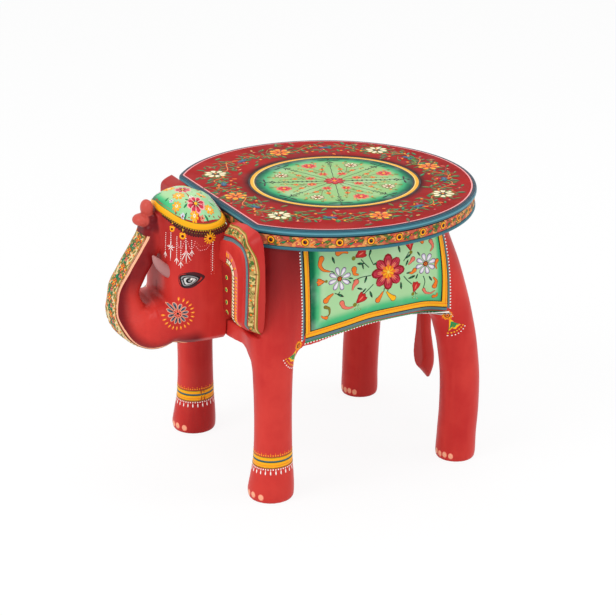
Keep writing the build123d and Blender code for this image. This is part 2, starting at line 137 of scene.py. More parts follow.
class Block:
    """A block of wood on a regular grid, whose fields hold distances in millimetres."""

    def __init__(self, low, high, step):
        self.low = np.array(low, dtype=float)
        self.step = step
        counts = [int(math.ceil((h - l) / step)) + 1 for l, h in zip(low, high)]
        axes = [l + step * np.arange(n) for l, n in zip(low, counts)]
        self.x = axes[0][:, None, None].astype(np.float32)
        self.y = axes[1][None, :, None].astype(np.float32)
        self.z = axes[2][None, None, :].astype(np.float32)

    def surface(self, field):
        """Points and four-sided faces where the field is zero."""
        shape = np.broadcast_shapes(field.shape, self.x.shape, self.y.shape, self.z.shape)
        grid = openvdb.FloatGrid()
        grid.copyFromArray(np.array(np.broadcast_to(field, shape), dtype=np.float32))
        points, quads = grid.convertToQuads(isovalue=0.0)
        return points * self.step + self.low, quads[:, ::-1]


def soft_join(a, b, width):
    """Two forms joined with a fillet of about this width."""
    mix = np.clip(0.5 + 0.5 * (b - a) / width, 0, 1)
    return b + (a - b) * mix - width * mix * (1 - mix)


def soft_meet(a, b, width):
    """What two forms share, with its edges rounded."""
    return -soft_join(-a, -b, width)


def flowing(at, stations, values):
    """Values between stations, on a smooth curve that doesn't overshoot."""
    stations = np.asarray(stations, dtype=float)
    values = np.asarray(values, dtype=float)
    slopes = np.diff(values) / np.diff(stations)
    steep = np.zeros(len(values))
    same = slopes[:-1] * slopes[1:] > 0
    total = np.where(same, slopes[:-1] + slopes[1:], 1)
    steep[1:-1] = np.where(same, 2 * slopes[:-1] * slopes[1:] / total, 0)
    steep[0], steep[-1] = slopes[0], slopes[-1]
    at = np.clip(at, stations[0], stations[-1])
    k = np.clip(np.searchsorted(stations, at, side="right") - 1, 0, len(slopes) - 1)
    width = stations[k + 1] - stations[k]
    t = (at - stations[k]) / width
    return (
        (2 * t**3 - 3 * t**2 + 1) * values[k]
        + (t**3 - 2 * t**2 + t) * width * steep[k]
        + (3 * t**2 - 2 * t**3) * values[k + 1]
        + (t**3 - t**2) * width * steep[k + 1]
    )


def upright(block, stations, power=2.0):
    """A form given by level slices (height, x, y, half width, half depth, power)."""
    heights, *rest = zip(*stations)
    if len(rest) < 5:
        rest.append([power] * len(heights))
    cx, cy, rx, ry, n = (flowing(block.z, heights, v).astype(np.float32) for v in rest)
    ratio = (np.abs(block.x - cx) / rx) ** n + (np.abs(block.y - cy) / ry) ** n
    side = (ratio ** (1 / n) - 1) * np.minimum(rx, ry)
    return np.maximum(side, np.maximum(heights[0] - block.z, block.z - heights[-1]))


def ellipsoid(block, centre, radii):
    """An egg-shaped form."""
    (cx, cy, cz), (rx, ry, rz) = centre, radii
    ratio = ((block.x - cx) / rx) ** 2 + ((block.y - cy) / ry) ** 2 + ((block.z - cz) / rz) ** 2
    return (np.sqrt(ratio) - 1) * min(radii)


def strip(block, stations, power):
    """A form along a bent line in the middle plane, from (y, z, half width, half depth)."""
    y, z, wide, deep = (np.array(v, dtype=float) for v in zip(*stations))
    steps = np.hypot(np.diff(y), np.diff(z))
    run = np.concatenate([[0], np.cumsum(steps)])
    fine = np.linspace(0, run[-1], 260)
    line_y, line_z, line_wide, line_deep = (flowing(fine, run, v) for v in (y, z, wide, deep))
    away = np.hypot(
        block.y[0, :, :, None] - line_y.astype(np.float32),
        block.z[0, 0, None, :, None] - line_z.astype(np.float32),
    )
    nearest = away.argmin(axis=-1)
    depth = np.take_along_axis(away, nearest[..., None], axis=-1)[..., 0]
    half_wide, half_deep = line_wide[nearest], line_deep[nearest]
    ratio = (np.abs(block.x) / half_wide[None]) ** power + ((depth / half_deep) ** power)[None]
    form = (ratio ** (1 / power) - 1) * np.minimum(half_wide, half_deep)[None]
    return form.astype(np.float32)


# ------------------------------------------------------------------ materials


def rgb(red, green, blue):
    """A colour as it looks on a screen, 0 to 255, as the linear values shaders use."""
    parts = [v / 255 for v in (red, green, blue)]
    return tuple(v / 12.92 if v <= 0.04045 else ((v + 0.055) / 1.055) ** 2.4 for v in parts) + (1,)


class Finish:
    """A material with a few short words for its nodes."""

    def __init__(self, name):
        self.material = bpy.data.materials.new(name)
        self.material.use_nodes = True
        self.nodes = self.material.node_tree.nodes
        self.links = self.material.node_tree.links
        self.shader = self.nodes["Principled BSDF"]

    def add(self, kind, inputs=(), **settings):
        made = self.nodes.new("ShaderNode" + kind)
        for name, value in settings.items():
            setattr(made, name, value)
        for name, value in dict(inputs).items():
            self.put(made.inputs[name], value)
        return made

    def put(self, socket, value):
        if isinstance(value, bpy.types.NodeSocket):
            self.links.new(value, socket)
        else:
            socket.default_value = value

    def place(self, stretch=(1, 1, 1)):
        """Object coordinates in metres, stretched."""
        source = self.add("TexCoord").outputs["Object"]
        return self.add("Mapping", {"Vector": source, "Scale": stretch}).outputs["Vector"]

    def noise(self, scale, detail=3.0, stretch=(1, 1, 1)):
        inputs = {"Vector": self.place(stretch), "Scale": scale, "Detail": detail, "Roughness": 0.55}
        return self.add("TexNoise", inputs).outputs["Fac"]

    def mix(self, first, second, factor):
        made = self.add("Mix", data_type="RGBA")
        self.put(made.inputs["Factor"], factor)
        self.put(made.inputs[6], first)
        self.put(made.inputs[7], second)
        return made.outputs[2]

    def range(self, value, low, high, to_low=0.0, to_high=1.0):
        inputs = {"Value": value, "From Min": low, "From Max": high}
        inputs.update({"To Min": to_low, "To Max": to_high})
        made = self.add("MapRange", inputs, interpolation_type="SMOOTHSTEP")
        return made.outputs["Result"]

    def bump(self, height, strength, distance, under=None):
        inputs = {"Height": height, "Strength": strength, "Distance": distance}
        if under is not None:
            inputs["Normal"] = under
        return self.add("Bump", inputs).outputs["Normal"]

    def set(self, **values):
        for name, value in values.items():
            self.put(self.shader.inputs[name.replace("_", " ")], value)
        return self.material


def lacquered(name, light, dark, deep, blush, sheen=0.11, coat=0.04):
    """Hand-painted lacquered wood: uneven colour, painted shade in hollows, carving marks."""
    f = Finish(name)
    cloudy = f.range(f.noise(14, 4), 0.3, 0.7)
    streaks = f.range(f.noise(60, 3, (1, 1, 0.12)), 0.35, 0.75)
    colour = f.mix(dark, light, cloudy)
    colour = f.mix(colour, light, f.range(streaks, 0, 1, 0, 0.5))
    # The shade attribute is painted shade on the body, head, ears and tail, and the dark painted halo on
    # the seat.
    painted_shade_and_halo = f.add("Attribute", attribute_name="shade").outputs["Fac"]
    patchy = f.add("Math", {0: painted_shade_and_halo, 1: f.range(cloudy, 0, 1, 0.75, 1.15)}, operation="MULTIPLY")
    colour = f.mix(colour, deep, patchy.outputs[0])
    colour = f.mix(colour, blush, f.add("Attribute", attribute_name="blush").outputs["Fac"])
    carving = f.bump(f.noise(22, 2), 0.22, 0.004)
    brush = f.bump(f.noise(420, 3, (1, 1, 0.2)), 0.05, 0.001, carving)
    uneven = f.range(f.noise(35, 3), 0.3, 0.7, 0.31, 0.43)
    return f.set(
        Base_Color=colour,
        Roughness=uneven,
        Normal=brush,
        Specular_IOR_Level=sheen,
        Coat_Weight=coat,
        Coat_Roughness=0.2,
    )


def garden(name, light, middle, deep, sheen=0.15):
    """A painted ground that darkens from its middle to its border."""
    f = Finish(name)
    border = f.add("Attribute", attribute_name="shade").outputs["Fac"]
    soft = f.mix(light, middle, f.range(border, 0.0, 0.55))
    colour = f.mix(soft, deep, f.range(border, 0.5, 1.0))
    pale = f.mix(colour, (1, 1, 1, 1), f.range(f.noise(30, 3), 0.45, 0.75, 0.0, 0.14))
    relief = f.bump(f.noise(500, 2), 0.12, 0.0006)
    gloss = f.range(f.noise(90, 2), 0.3, 0.7, 0.34, 0.46)
    return f.set(Base_Color=pale, Roughness=gloss, Normal=relief, Specular_IOR_Level=sheen)


def bare_wood():
    """Unpainted dowel wood with fine grain."""
    f = Finish("bare_wood")
    grain = f.noise(160, 4, (1, 1, 0.08))
    colour = f.mix(rgb(206, 166, 116), rgb(158, 112, 70), f.range(grain, 0.35, 0.7))
    return f.set(Base_Color=colour, Roughness=f.range(grain, 0.3, 0.7, 0.55, 0.75))


def mottled(name, ground, spots, share=0.5):
    """A painted ground covered with small brush marks of other colours."""
    f = Finish(name)
    colour = ground
    for index, (mark, scale) in enumerate(spots):
        marks = f.range(f.noise(scale, 1.5, (1, 1, 1 + 0.2 * index)), share + 0.02, share + 0.1)
        colour = f.mix(colour, mark, marks)
    gloss = f.range(f.noise(120, 2), 0.3, 0.7, 0.36, 0.5)
    return f.set(Base_Color=colour, Roughness=gloss, Specular_IOR_Level=0.1)


def paint(name, colour):
    """Thick enamel of one colour, with brush relief and uneven gloss."""
    f = Finish(name)
    relief = f.bump(f.noise(700, 2), 0.18, 0.0006)
    gloss = f.range(f.noise(160, 2), 0.3, 0.7, 0.32, 0.46)
    return f.set(Base_Color=colour, Roughness=gloss, Normal=relief, Specular_IOR_Level=0.15)


TINTS = {
    "red": (196, 36, 34), "deep_red": (140, 18, 26), "rose": (214, 84, 92), "salmon": (232, 116, 96),
    "orange": (240, 120, 34), "yellow": (250, 182, 20), "pale_yellow": (244, 214, 96),
    "cream": (246, 232, 196), "peach": (246, 176, 140), "white": (246, 242, 236),
    "lilac": (212, 202, 226), "pink": (240, 158, 160), "leaf": (86, 132, 44), "green": (24, 140, 84),
    "dark_green": (20, 72, 48), "mint": (150, 224, 170), "teal": (52, 108, 122),
    "shine": (92, 150, 164), "navy": (32, 54, 76), "blue": (30, 76, 116), "moss": (104, 96, 34),
    "umber": (124, 92, 50), "pale_gold": (240, 214, 130), "olive": (126, 122, 34),
    "gold": (246, 172, 24), "slate": (92, 122, 128),
    "grey_teal": (120, 152, 150), "steel": (104, 110, 124), "rose_red": (196, 48, 70),
    "pink_red": (224, 110, 100), "plum": (110, 74, 110), "brown": (120, 52, 30), "tan": (206, 176, 104),
    "ash": (150, 148, 150), "white_grey": (206, 206, 204), "soot": (70, 30, 36), "ink": (26, 22, 24),
}
paints = {}


def tint(name):
    """The enamel of this colour, made once."""
    if name not in paints:
        paints[name] = paint("enamel_" + name, rgb(*TINTS[name]))
    return paints[name]


# ------------------------------------------------------------------ painting

LAYER = 0.07
STROKE_PROFILE = ((-1, -0.4), (-0.68, 0.8), (0, 1), (0.68, 0.8), (1, -0.4))


class Painting:
    """Raised enamel on a carved surface. A canvas turns (u, v) in millimetres to a point
    on the surface and the surface's normal there."""

    def __init__(self, name, canvas):
        self.name, self.canvas = name, canvas
        self.points, self.faces, self.colours, self.shades = [], [], [], []

    def put(self, u, v, lift, shade=0.0):
        point, normal = self.canvas(u, v)
        self.points.append(tuple(point + normal * lift))
        self.shades.append(shade)
        return len(self.points) - 1

    def face(self, corners, colour):
        self.faces.append(tuple(corners))
        self.colours.append(colour)

    def shape(self, outline, colour, layer=0, lift=0.22):
        """A domed patch with this outline, given as (u, v) points around its middle."""
        middle_u = sum(p[0] for p in outline) / len(outline)
        middle_v = sum(p[1] for p in outline) / len(outline)
        base = LAYER * layer
        rings = []
        for share, height in ((1.0, -0.08), (0.84, 0.75 * lift), (0.42, lift)):
            ring = []
            for u, v in outline:
                at_u = middle_u + share * (u - middle_u)
                at_v = middle_v + share * (v - middle_v)
                ring.append(self.put(at_u, at_v, base + height))
            rings.append(ring)
        top = self.put(middle_u, middle_v, base + lift)
        count = len(outline)
        for low, high in zip(rings, rings[1:]):
            for i in range(count):
                j = (i + 1) % count
                self.face((low[i], low[j], high[j], high[i]), colour)
        for i in range(count):
            self.face((rings[-1][i], rings[-1][(i + 1) % count], top), colour)

    def blob(self, outline, colour, layer, lift):
        """A patch with a smooth outline through a few points."""
        count = len(outline)
        smooth = []
        for i in range(count):
            p0, p1, p2, p3 = (outline[(i + k - 1) % count] for k in range(4))
            for t in (0.0, 0.25, 0.5, 0.75):
                point = []
                for a, b, c, d in zip(p0, p1, p2, p3):
                    cubic = (3 * b - a - 3 * c + d) * t**3 + (2 * a - 5 * b + 4 * c - d) * t**2
                    point.append(0.5 * (cubic + (c - a) * t) + b)
                smooth.append(tuple(point))
        self.shape(smooth, colour, layer, lift)

    def turned(self, u, v, turn, points):
        """Points moved to (u, v) and turned."""
        c, s = math.cos(turn), math.sin(turn)
        return [(u + a * c - b * s, v + a * s + b * c) for a, b in points]

    def dot(self, u, v, radius, colour, layer=0, squash=1.0, count=9):
        """A round or oval dot."""
        ring = [2 * math.pi * i / count for i in range(count)]
        points = [(u + radius * math.cos(t), v + radius * squash * math.sin(t)) for t in ring]
        self.shape(points, colour, layer, min(0.25, 0.35 * radius))

    def discs(self, u, v, first_layer, *rings):
        """Dots on top of each other, each with its radius and colour."""
        for layer, (radius, colour) in enumerate(rings, first_layer):
            self.dot(u, v, radius, colour, layer)

    def petal(self, u, v, turn, length, width, colour, layer=0, point=0.0, start=0.0):
        """A petal or leaf outwards from (u, v): round at its end, or pointed."""
        points = []
        for i in range(10):
            angle = 2 * math.pi * i / 10
            along = 0.5 - 0.5 * math.cos(angle)
            swell = math.sin(angle) * (0.45 + 0.75 * along) * (1 - point * along**3)
            points.append((start + length * along, 0.5 * width * swell))
        self.shape(self.turned(u, v, turn, points), colour, layer)

    def petals(self, u, v, count, turn, first_layer, *rings, point=0.0):
        """Rings of petals on top of each other, each with its start, length, width and colour."""
        for layer, (start, length, width, colour) in enumerate(rings, first_layer):
            for i in range(count):
                angle = turn + 2 * math.pi * i / count
                self.petal(u, v, angle, length, width, colour, layer, point, start)

    def leaf(self, u, v, turn, length, width, colour, edge="dark_green", layer=0):
        """A pointed leaf with a darker edge."""
        self.petal(u, v, turn, length, width, edge, layer, 0.75)
        inner = self.turned(u, v, turn, [(0.12 * length, 0)])[0]
        self.petal(*inner, turn, 0.76 * length, 0.6 * width, colour, layer + 1, 0.75)

    def stroke(self, path, width, colour, layer=0, thin=(1.0, 1.0), closed=False, lift=0.18):
        """A brush stroke along a path, thinner or thicker at its two ends."""
        path = list(path)
        if closed:
            path = path + [path[0]]
        count = len(path)
        base = LAYER * layer
        rows = []
        for i, (u, v) in enumerate(path):
            if closed:
                before, after = path[(i - 1) % (count - 1)], path[(i + 1) % (count - 1)]
            else:
                before, after = path[max(i - 1, 0)], path[min(i + 1, count - 1)]
            du, dv = after[0] - before[0], after[1] - before[1]
            size = math.hypot(du, dv) or 1.0
            share = i / (count - 1)
            half = 0.5 * width * (thin[0] + (thin[1] - thin[0]) * share)
            row = []
            for across, height in STROKE_PROFILE:
                at_u, at_v = u - dv / size * half * across, v + du / size * half * across
                row.append(self.put(at_u, at_v, base + height * lift))
            rows.append(row)
        for low, high in zip(rows, rows[1:]):
            for k in range(len(STROKE_PROFILE) - 1):
                self.face((low[k], high[k], high[k + 1], low[k + 1]), colour)

    def line(self, path, width, colour, layer=0, spread=2.0, **more):
        """A stroke along a smooth curve through a few points."""
        count = max(3, int(length_of(path) / spread) + 1)
        self.stroke(smooth_path(path, count), width, colour, layer, **more)

    def comma(self, path, width, colour):
        """A teardrop stroke, thick at its start, with a dark edge."""
        for layer, grow, shown, end in ((1, 1.1, "brown", 0.3), (2, 0.0, colour, 0.2)):
            self.line(path, width + grow, shown, layer, 1.2, thin=(1.0, end))
            self.dot(*path[0], 0.5 * (width + grow), shown, layer)

    def dots(self, path, radius, gap, colour, layer=0):
        """A row of dots along a smooth curve."""
        for u, v in smooth_path(path, max(2, int(length_of(path) / gap) + 1)):
            self.dot(u, v, radius, colour, layer, count=7)

    def sheet(self, grid, colour, shade=None, sink=0.3):
        """A thin film of paint over a grid of (u, v) points, sunk at its edges."""
        rows, columns = len(grid), len(grid[0])
        index = []
        for i, line in enumerate(grid):
            row = []
            for j, (u, v) in enumerate(line):
                edge = i in (0, rows - 1) or j in (0, columns - 1)
                dark = shade(u, v) if shade else 0.0
                row.append(self.put(u, v, -sink if edge else FILM, dark))
            index.append(row)
        for i in range(rows - 1):
            for j in range(columns - 1):
                corners = (index[i][j], index[i][j + 1], index[i + 1][j + 1], index[i + 1][j])
                self.face(corners, colour)

    def finish(self, extra=(), both_sides=False):
        """Makes the piece with a material for each colour, or one piece for each side."""
        names = sorted(set(self.colours))
        where = {n: i for i, n in enumerate(names)}
        extra = dict(extra)
        for side, word in ((1, "_left"), (-1, "_right")) if both_sides else ((1, ""),):
            points = [(side * x, y, z) for x, y, z in self.points]
            faces = [f[::side] for f in self.faces]
            piece = make_mesh(self.name + word, points, faces)
            finish_piece(piece, [extra.get(n) or tint(n) for n in names])
            piece.data.polygons.foreach_set("material_index", [where[c] for c in self.colours])
            shades = piece.data.attributes.new("shade", "FLOAT", "POINT")
            shades.data.foreach_set("value", self.shades)


def length_of(path):
    """The length of a line through points."""
    return sum(math.dist(p, q) for p, q in zip(path, path[1:]))


def bearing(here, there):
    """The direction from one point to another."""
    return math.atan2(there[1] - here[1], there[0] - here[0])


def cast(tree, origin, direction):
    """The point and normal where a ray meets a carved surface."""
    point, normal, _, _ = tree.ray_cast(Vector(origin), Vector(direction))
    if point is None:
        point, normal, _, _ = tree.find_nearest(Vector(origin))
    if normal.dot(Vector(direction)) > 0:
        normal = -normal
    return point, normal


def from_side(tree):
    """A canvas seen from the left: u is y and v is z."""
    return lambda u, v: cast(tree, (220, u, v), (-1, 0, 0))


def from_front(tree):
    """A canvas seen from the front: u is x and v is z."""
    return lambda u, v: cast(tree, (u, -340, v), (0, 1, 0))


def from_above(tree):
    """A canvas seen from above: u is x and v is y."""
    return lambda u, v: cast(tree, (u, v, 420), (0, 0, -1))


def from_inside(tree, x, y, z):
    """A canvas around a point inside a dome: u is the bearing and v the elevation."""

    def canvas(u, v):
        out = Vector((math.cos(u) * math.cos(v), math.sin(u) * math.cos(v), math.sin(v)))
        return cast(tree, Vector((x, y, z)) + out * 90, -out)

    return canvas


def from_around(tree, x, y, radius):
    """A canvas around an upright axis: u is the arc's length at a radius, and v is z."""

    def canvas(u, v):
        out = Vector((math.cos(u / radius), math.sin(u / radius), 0))
        return cast(tree, Vector((x, y, v)) + out * 90, -out)

    return canvas


def shade_piece(piece, rule, name="shade"):
    """Stores, at each point of a piece, how dark it is (painted shade, and the seat's painted halo) or
    how bright its paint is.
    """
    count = len(piece.data.vertices)
    at = np.empty(3 * count, dtype=np.float32)
    piece.data.vertices.foreach_get("co", at)
    x, y, z = (at.reshape(-1, 3) * 1000 - (0, SEAT_Y, 0)).T
    shades = piece.data.attributes.new(name, "FLOAT", "POINT")
    shades.data.foreach_set("value", np.clip(rule(x, y, z), 0, 1).astype(np.float32))


def dress(piece, material, node, rule):
    """Gives a red wooden piece its material, its node and its painted shade."""
    finish_piece(piece, [material], [node])
    shade_piece(piece, rule)


def rising(value, low, high):
    """Smoothly from 0 below one value to 1 above the other."""
    t = np.clip((value - low) / (high - low), 0, 1)
    return t * t * (3 - 2 * t)


# ------------------------------------------------------------------ body

BELLY = 165.0
LEDGE = 183.0
CHEST = 139.0
GLUE_SIDE = 66.0
GLUE_FRONT = -72.0
GLUE_REAR = 48.0
# Round slices of a leg: height, x, y and radius.
FRONT_LEG = [
    (0, 99.1, -115.5, 22.6), (3, 99.1, -115.5, 24.0), (9, 99.1, -115.4, 24.3), (24, 99.1, -114.2, 22.9),
    (47, 99.1, -113.0, 20.4), (90, 99.1, -112.5, 19.7), (138, 99.0, -112.5, 20.8),
    (170, 96.5, -112.0, 24.5), (215, 89.0, -106.0, 28.0), (278, 80.0, -100.0, 27.0),
]
REAR_LEG = [
    (0, 100.8, 104.6, 19.2), (3, 100.8, 104.6, 20.4), (9, 100.9, 104.7, 20.8), (28, 101.3, 105.3, 20.4),
    (60, 102.6, 106.8, 20.5), (95, 104.0, 107.2, 20.8), (131, 104.0, 104.7, 21.6),
    (176, 100.5, 96.8, 23.6), (214, 94.5, 86.5, 25.0), (257, 84.5, 69.0, 26.0), (278, 78.0, 58.0, 26.0),
]
REAR_LEG_FLATNESS = 0.84
ARCH_RISE = 13.5
ARCH_HALF_SPAN = 104.0
ARCH_MIDDLE = 35.0
REAR_FOOT_SHIFT = {1: (0.0, 3.9, 1.0), -1: (1.2, -6.1, 0.6)}
TORSO = [
    (BELLY - 8, 0, -9.0, 108.0, 130.0), (BELLY + 8, 0, -9.0, 110.0, 130.0),
    (215, 0, -9.5, 113.0, 129.5), (250, 0, -13.5, 111.5, 125.5), (278, 0, -17.5, 108.0, 121.5),
]


def body_form(block):
    """The torso and its four legs as one flowing form."""
    form = np.maximum(upright(block, TORSO, 4.2), BELLY - block.z)
    radius = (ARCH_HALF_SPAN**2 + ARCH_RISE**2) / (2 * ARCH_RISE)
    hollow = radius - np.hypot(block.y - ARCH_MIDDLE, block.z - (BELLY + ARCH_RISE - radius))
    form = soft_meet(form, hollow.astype(np.float32), 3.0)
    for side in (1, -1):
        for leg, flatness in ((FRONT_LEG, 1.0), (REAR_LEG, REAR_LEG_FLATNESS)):
            slices = []
            for h, x, y, r in leg:
                if leg is REAR_LEG:
                    low = 1 - float(rising(np.array(h), 40, 170))
                    x, y, r = (a + low * b for a, b in zip((x, y, r), REAR_FOOT_SHIFT[side]))
                narrow = 1 + (flatness - 1) * float(rising(np.array(h), 110, 180))
                slices.append((h, side * x, y, r * narrow, r))
            form = soft_join(form, upright(block, slices), 14.0)
    form = np.maximum(form, np.maximum(-block.z, block.z - UNDERSIDE))
    housing = np.maximum(block.y + GLUE_FACE, LEDGE - block.z)
    return np.maximum(form, -housing)


def body_shade(x, y, z):
    """Painted shade: darkest at the shoulder behind the ear and under the seat, then at the rump and
    inside.
    """
    shoulder = rising(z, 165, 268) * (1 - rising(y, -84, -66))
    under = rising(z, 262, 278) * 0.6
    rump = 0.35 * rising(z, 200, 275) * rising(y, 80, 110)
    inside = 0.45 * (1 - rising(np.abs(x), 74, 92)) * (1 - rising(z, 150, 170))
    return np.maximum(np.maximum(shoulder * 0.95, under), np.maximum(rump, inside))


def build_body(material):
    """Carves the body in one go, then saws it along its glue lines."""
    block = Block((-126, -144, -4), (126, 134, 282), 1.6)
    points, faces = block.surface(body_form(block))
    whole = make_mesh("whole_body", points, faces)
    torso = copy_of(whole, "painted_torso")
    far = 200.0
    for side, word in ((1, "left"), (-1, "right")):
        x_low, x_high = sorted((side * GLUE_SIDE, side * far))
        for name, y_low, y_high in (("front_leg_", -far, GLUE_FRONT), ("rear_leg_", GLUE_REAR, far)):
            low, high = (x_low, y_low, -far), (x_high, y_high, UNDERSIDE + 10)
            leg = copy_of(whole, "painted_" + name + word)
            sharpen(cut_with_box(leg, low, high, "INTERSECT"))
            dress(leg, material, name + word, body_shade)
            cut_with_box(torso, low, high, "DIFFERENCE")
    sharpen(torso)
    dress(torso, material, "torso", body_shade)
    bpy.data.objects.remove(whole)
    return tree_from(points, faces)


# ------------------------------------------------------------------ head and trunk

CAP_RADIUS = 48.0
CAP_Y = CAP_RADIUS - HEAD_FRONT
DOME_Y = -167.0
CAP_BACK = -138.0
CAP_MIDDLE = 288.0
# Height of the gold ring by its bearing in degrees, from -90 in front to 90 behind.
CAP_RING = [
    (-90, 305.5), (-65, 300.7), (-50, 295.8), (-37, 291.8), (-24, 289.3), (-12, 288.5), (0, 289.6),
    (22, 294.5), (45, 298.5), (90, 301.5),
]
HEAD = [
    (JAW, 0, CAP_Y, 38.0, 47.5, 3.2), (JAW + 6, 0, CAP_Y, 43.5, 47.9, 3.8),
    (JAW + 20, 0, CAP_Y, 45.6, 48.0, 4.4), (208, 0, CAP_Y, 45.8, 48.0, 4.4),
    (240, 0, CAP_Y, 43.4, 48.0, 3.6), (262, 0, CAP_Y, 44.6, 48.0, 2.9),
    (280, 0, CAP_Y, 47.6, 48.0, 2.3), (292, 0, CAP_Y, 48.2, 48.0, 2.0),
    (325, 0, CAP_Y, 48.2, 48.0, 2.0),
]
# Stations along the trunk's middle line: y, z, half width and half depth.
TRUNK = [
    (-176, 186, 44, 22), (-198, 184, 43, 23), (-212, 181, 39, 26), (-225, 186, 31, 23.5),
    (-233.5, 199, 23.5, 17.5), (-235, 215, 18.5, 13.6), (-225.5, 236, 16.8, 12.4),
    (-211, 259, 16.6, 12.0), (-203.0, 275, 16.0, 11.8), (-202.5, 284, 14.5, 10.6),
    (-203.0, 289, 12.0, 8.2),
]
TRUNK_LOBES = (((0, -212.5, 290.5), (10.5, 9.6, 6.4)), ((0, -206.5, 302.0), (9.0, 6.4, 9.2)))


def cap_edge(angle):
    """Height of the gold ring below the cap: high in front and behind, low at the sides."""
    from_side = np.degrees(np.arctan2(np.sin(angle), np.abs(np.cos(angle))))
    return flowing(from_side, *zip(*CAP_RING))


def cap_reach(along_x, along_y):
    """Distance from the dome's middle to the crown's edge in a direction."""
    offset = (DOME_Y - CAP_Y) * along_y / np.hypot(along_x, along_y)
    return np.sqrt(offset**2 - (DOME_Y - CAP_Y) ** 2 + CAP_RADIUS**2) - offset


def cap_height(x, y):
    """Height of the domed cap, whose top lies in front of the crown's middle."""
    forward = y - DOME_Y + 1e-6
    behind = np.maximum(forward, 0) / (CAP_BACK + 3.0 - DOME_Y)
    share = ((np.hypot(x, forward) / cap_reach(x, forward)) ** 4 + behind**4) ** 0.25
    edge = cap_edge(np.arctan2(y - CAP_Y, x)) + 2.6
    return edge + (CAP_TOP - 0.3 - edge) * (1 - np.minimum(share, 1.4) ** 2.8)


def head_form(block):
    """Head, cap and trunk as one flowing form."""
    dome = (block.z - cap_height(block.x, block.y)) * 0.62
    head = soft_meet(upright(block, HEAD), dome.astype(np.float32), 4.0)
    trunk = strip(block, TRUNK, 3.4)
    lobes = soft_join(*(ellipsoid(block, *lobe) for lobe in TRUNK_LOBES), 1.5)
    form = soft_join(head, trunk, 4.0)
    form = soft_join(form, lobes, 1.5)
    form = np.maximum(form, block.y + GLUE_FACE)
    under_chest = np.maximum(-(block.y + CHEST), block.z - LEDGE)
    return np.maximum(form, -under_chest)


def trunk_outer_line():
    """Outer line of the trunk from its tip to under the jaw: (y, z, normal y, normal z)."""
    y, z, deep = ([t[i] for t in TRUNK] for i in (0, 1, 3))
    run = np.concatenate([[0], np.cumsum(np.hypot(np.diff(y), np.diff(z)))])
    at = np.linspace(run[-1], 0, 241)
    line_y, line_z, line_deep = (flowing(at, run, v) for v in (y, z, deep))
    dy, dz = np.gradient(line_y), np.gradient(line_z)
    size = np.hypot(dy, dz)
    out_y, out_z = dz / size, -dy / size
    return line_y + out_y * line_deep, line_z + out_z * line_deep, out_y, out_z


def head_shade(x, y, z):
    """Painted shade beside the trunk's painted band (deepening its dark airbrushing), at its tip and up
    its front, and below the cap.
    """
    line_y, line_z, _, _ = trunk_outer_line()
    step = slice(None, None, 4)
    away = np.hypot(y[:, None] - line_y[None, step], z[:, None] - line_z[None, step]).min(axis=1)
    edge = 1 - rising(away, 3.0, 17.0)
    tip = rising(z, 272, 284) * (1 - rising(y, -201, -197))
    front = (1 - rising(y, -209, -198)) * rising(z, 206, 246) * 0.85
    brow = rising(z, 240, 288) * 0.42
    return np.maximum(edge * 0.92, np.maximum(tip, np.maximum(front, brow)))


def tip_blush(x, y, z):
    """The two lobes at the trunk's tip are bright."""
    bright = np.zeros(len(x))
    for (cx, cy, cz), (rx, ry, rz) in TRUNK_LOBES:
        away = np.sqrt(((x - cx) / rx) ** 2 + ((y - cy) / ry) ** 2 + ((z - cz) / rz) ** 2)
        bright = np.maximum(bright, 0.6 * (1 - rising(away, 1.02, 1.2)))
    return bright


def tree_of(piece):
    """The surface of a piece, to cast rays on, in millimetres from the seat's centre."""
    points = [1000 * v.co - Vector((0, SEAT_Y, 0)) for v in piece.data.vertices]
    return BVHTree.FromPolygons(points, [list(f.vertices) for f in piece.data.polygons])


def build_head(material):
    """Carves head and trunk together, then saws them apart at the face."""
    block = Block((-52, -254, 146), (52, -128, 320), 1.0)
    points, faces = block.surface(head_form(block))
    head = make_mesh("painted_head", points, faces)
    far = 400.0
    low, high = (-far, -far, -far), (far, -HEAD_FRONT, far)
    trunk = copy_of(head, "painted_trunk")
    sharpen(cut_with_box(trunk, low, high, "INTERSECT"), 50)
    dress(trunk, material, "trunk", head_shade)
    shade_piece(trunk, tip_blush, "blush")
    sharpen(cut_with_box(head, low, high, "DIFFERENCE"), 50)
    dress(head, material, "head", head_shade)
    return tree_from(points, faces), tree_of(head)


# ------------------------------------------------------------------ ears

# Outline, flap and fold of the left ear, as (x, z).
EAR_OUTLINE = [
    (34, 183.0), (70, 183.2), (98, 184.5), (110, 188.0), (116, 196.0), (119, 212.0), (120.8, 235.0),
    (120.6, 262.0), (118.4, 281.0), (112, 292.5), (102, 296.6), (86, 296.6), (60, 293.5), (50, 290.5),
    (34, 284.0),
]
RIGHT_EAR_OUTLINE = EAR_OUTLINE[:7] + [
    (120.9, 272.0), (120.4, 284.0), (117.0, 292.0), (109, 296.6),
] + EAR_OUTLINE[10:]
EAR_BACK = GLUE_FACE + 0.1
EAR_THICKNESS = 12.7
# Inside the head the ear keeps its full thickness up to its inner edge.
EAR_INNER = 36
FLAP_EDGE = [(30, 248.0), (54, 250.5), (67, 250.0), (73, 244.0), (72, 221.0), (71, 200.0), (76, 180.0)]
FOLD_LINE = [
    (30, 272.0), (50, 275.5), (76, 279.5), (89, 279.0), (98, 275.4), (103.4, 267.0), (104.8, 255.0),
    (104, 236.0), (101.5, 208.0), (95.5, 180.0),
]


def smooth_path(points, count=90):
    """Evenly spread points on a smooth open curve."""
    a, b = (np.array(v, dtype=float) for v in zip(*points))
    run = np.concatenate([[0], np.cumsum(np.hypot(np.diff(a), np.diff(b)))])
    at = np.linspace(0, run[-1], count)
    return list(zip(flowing(at, run, a), flowing(at, run, b)))


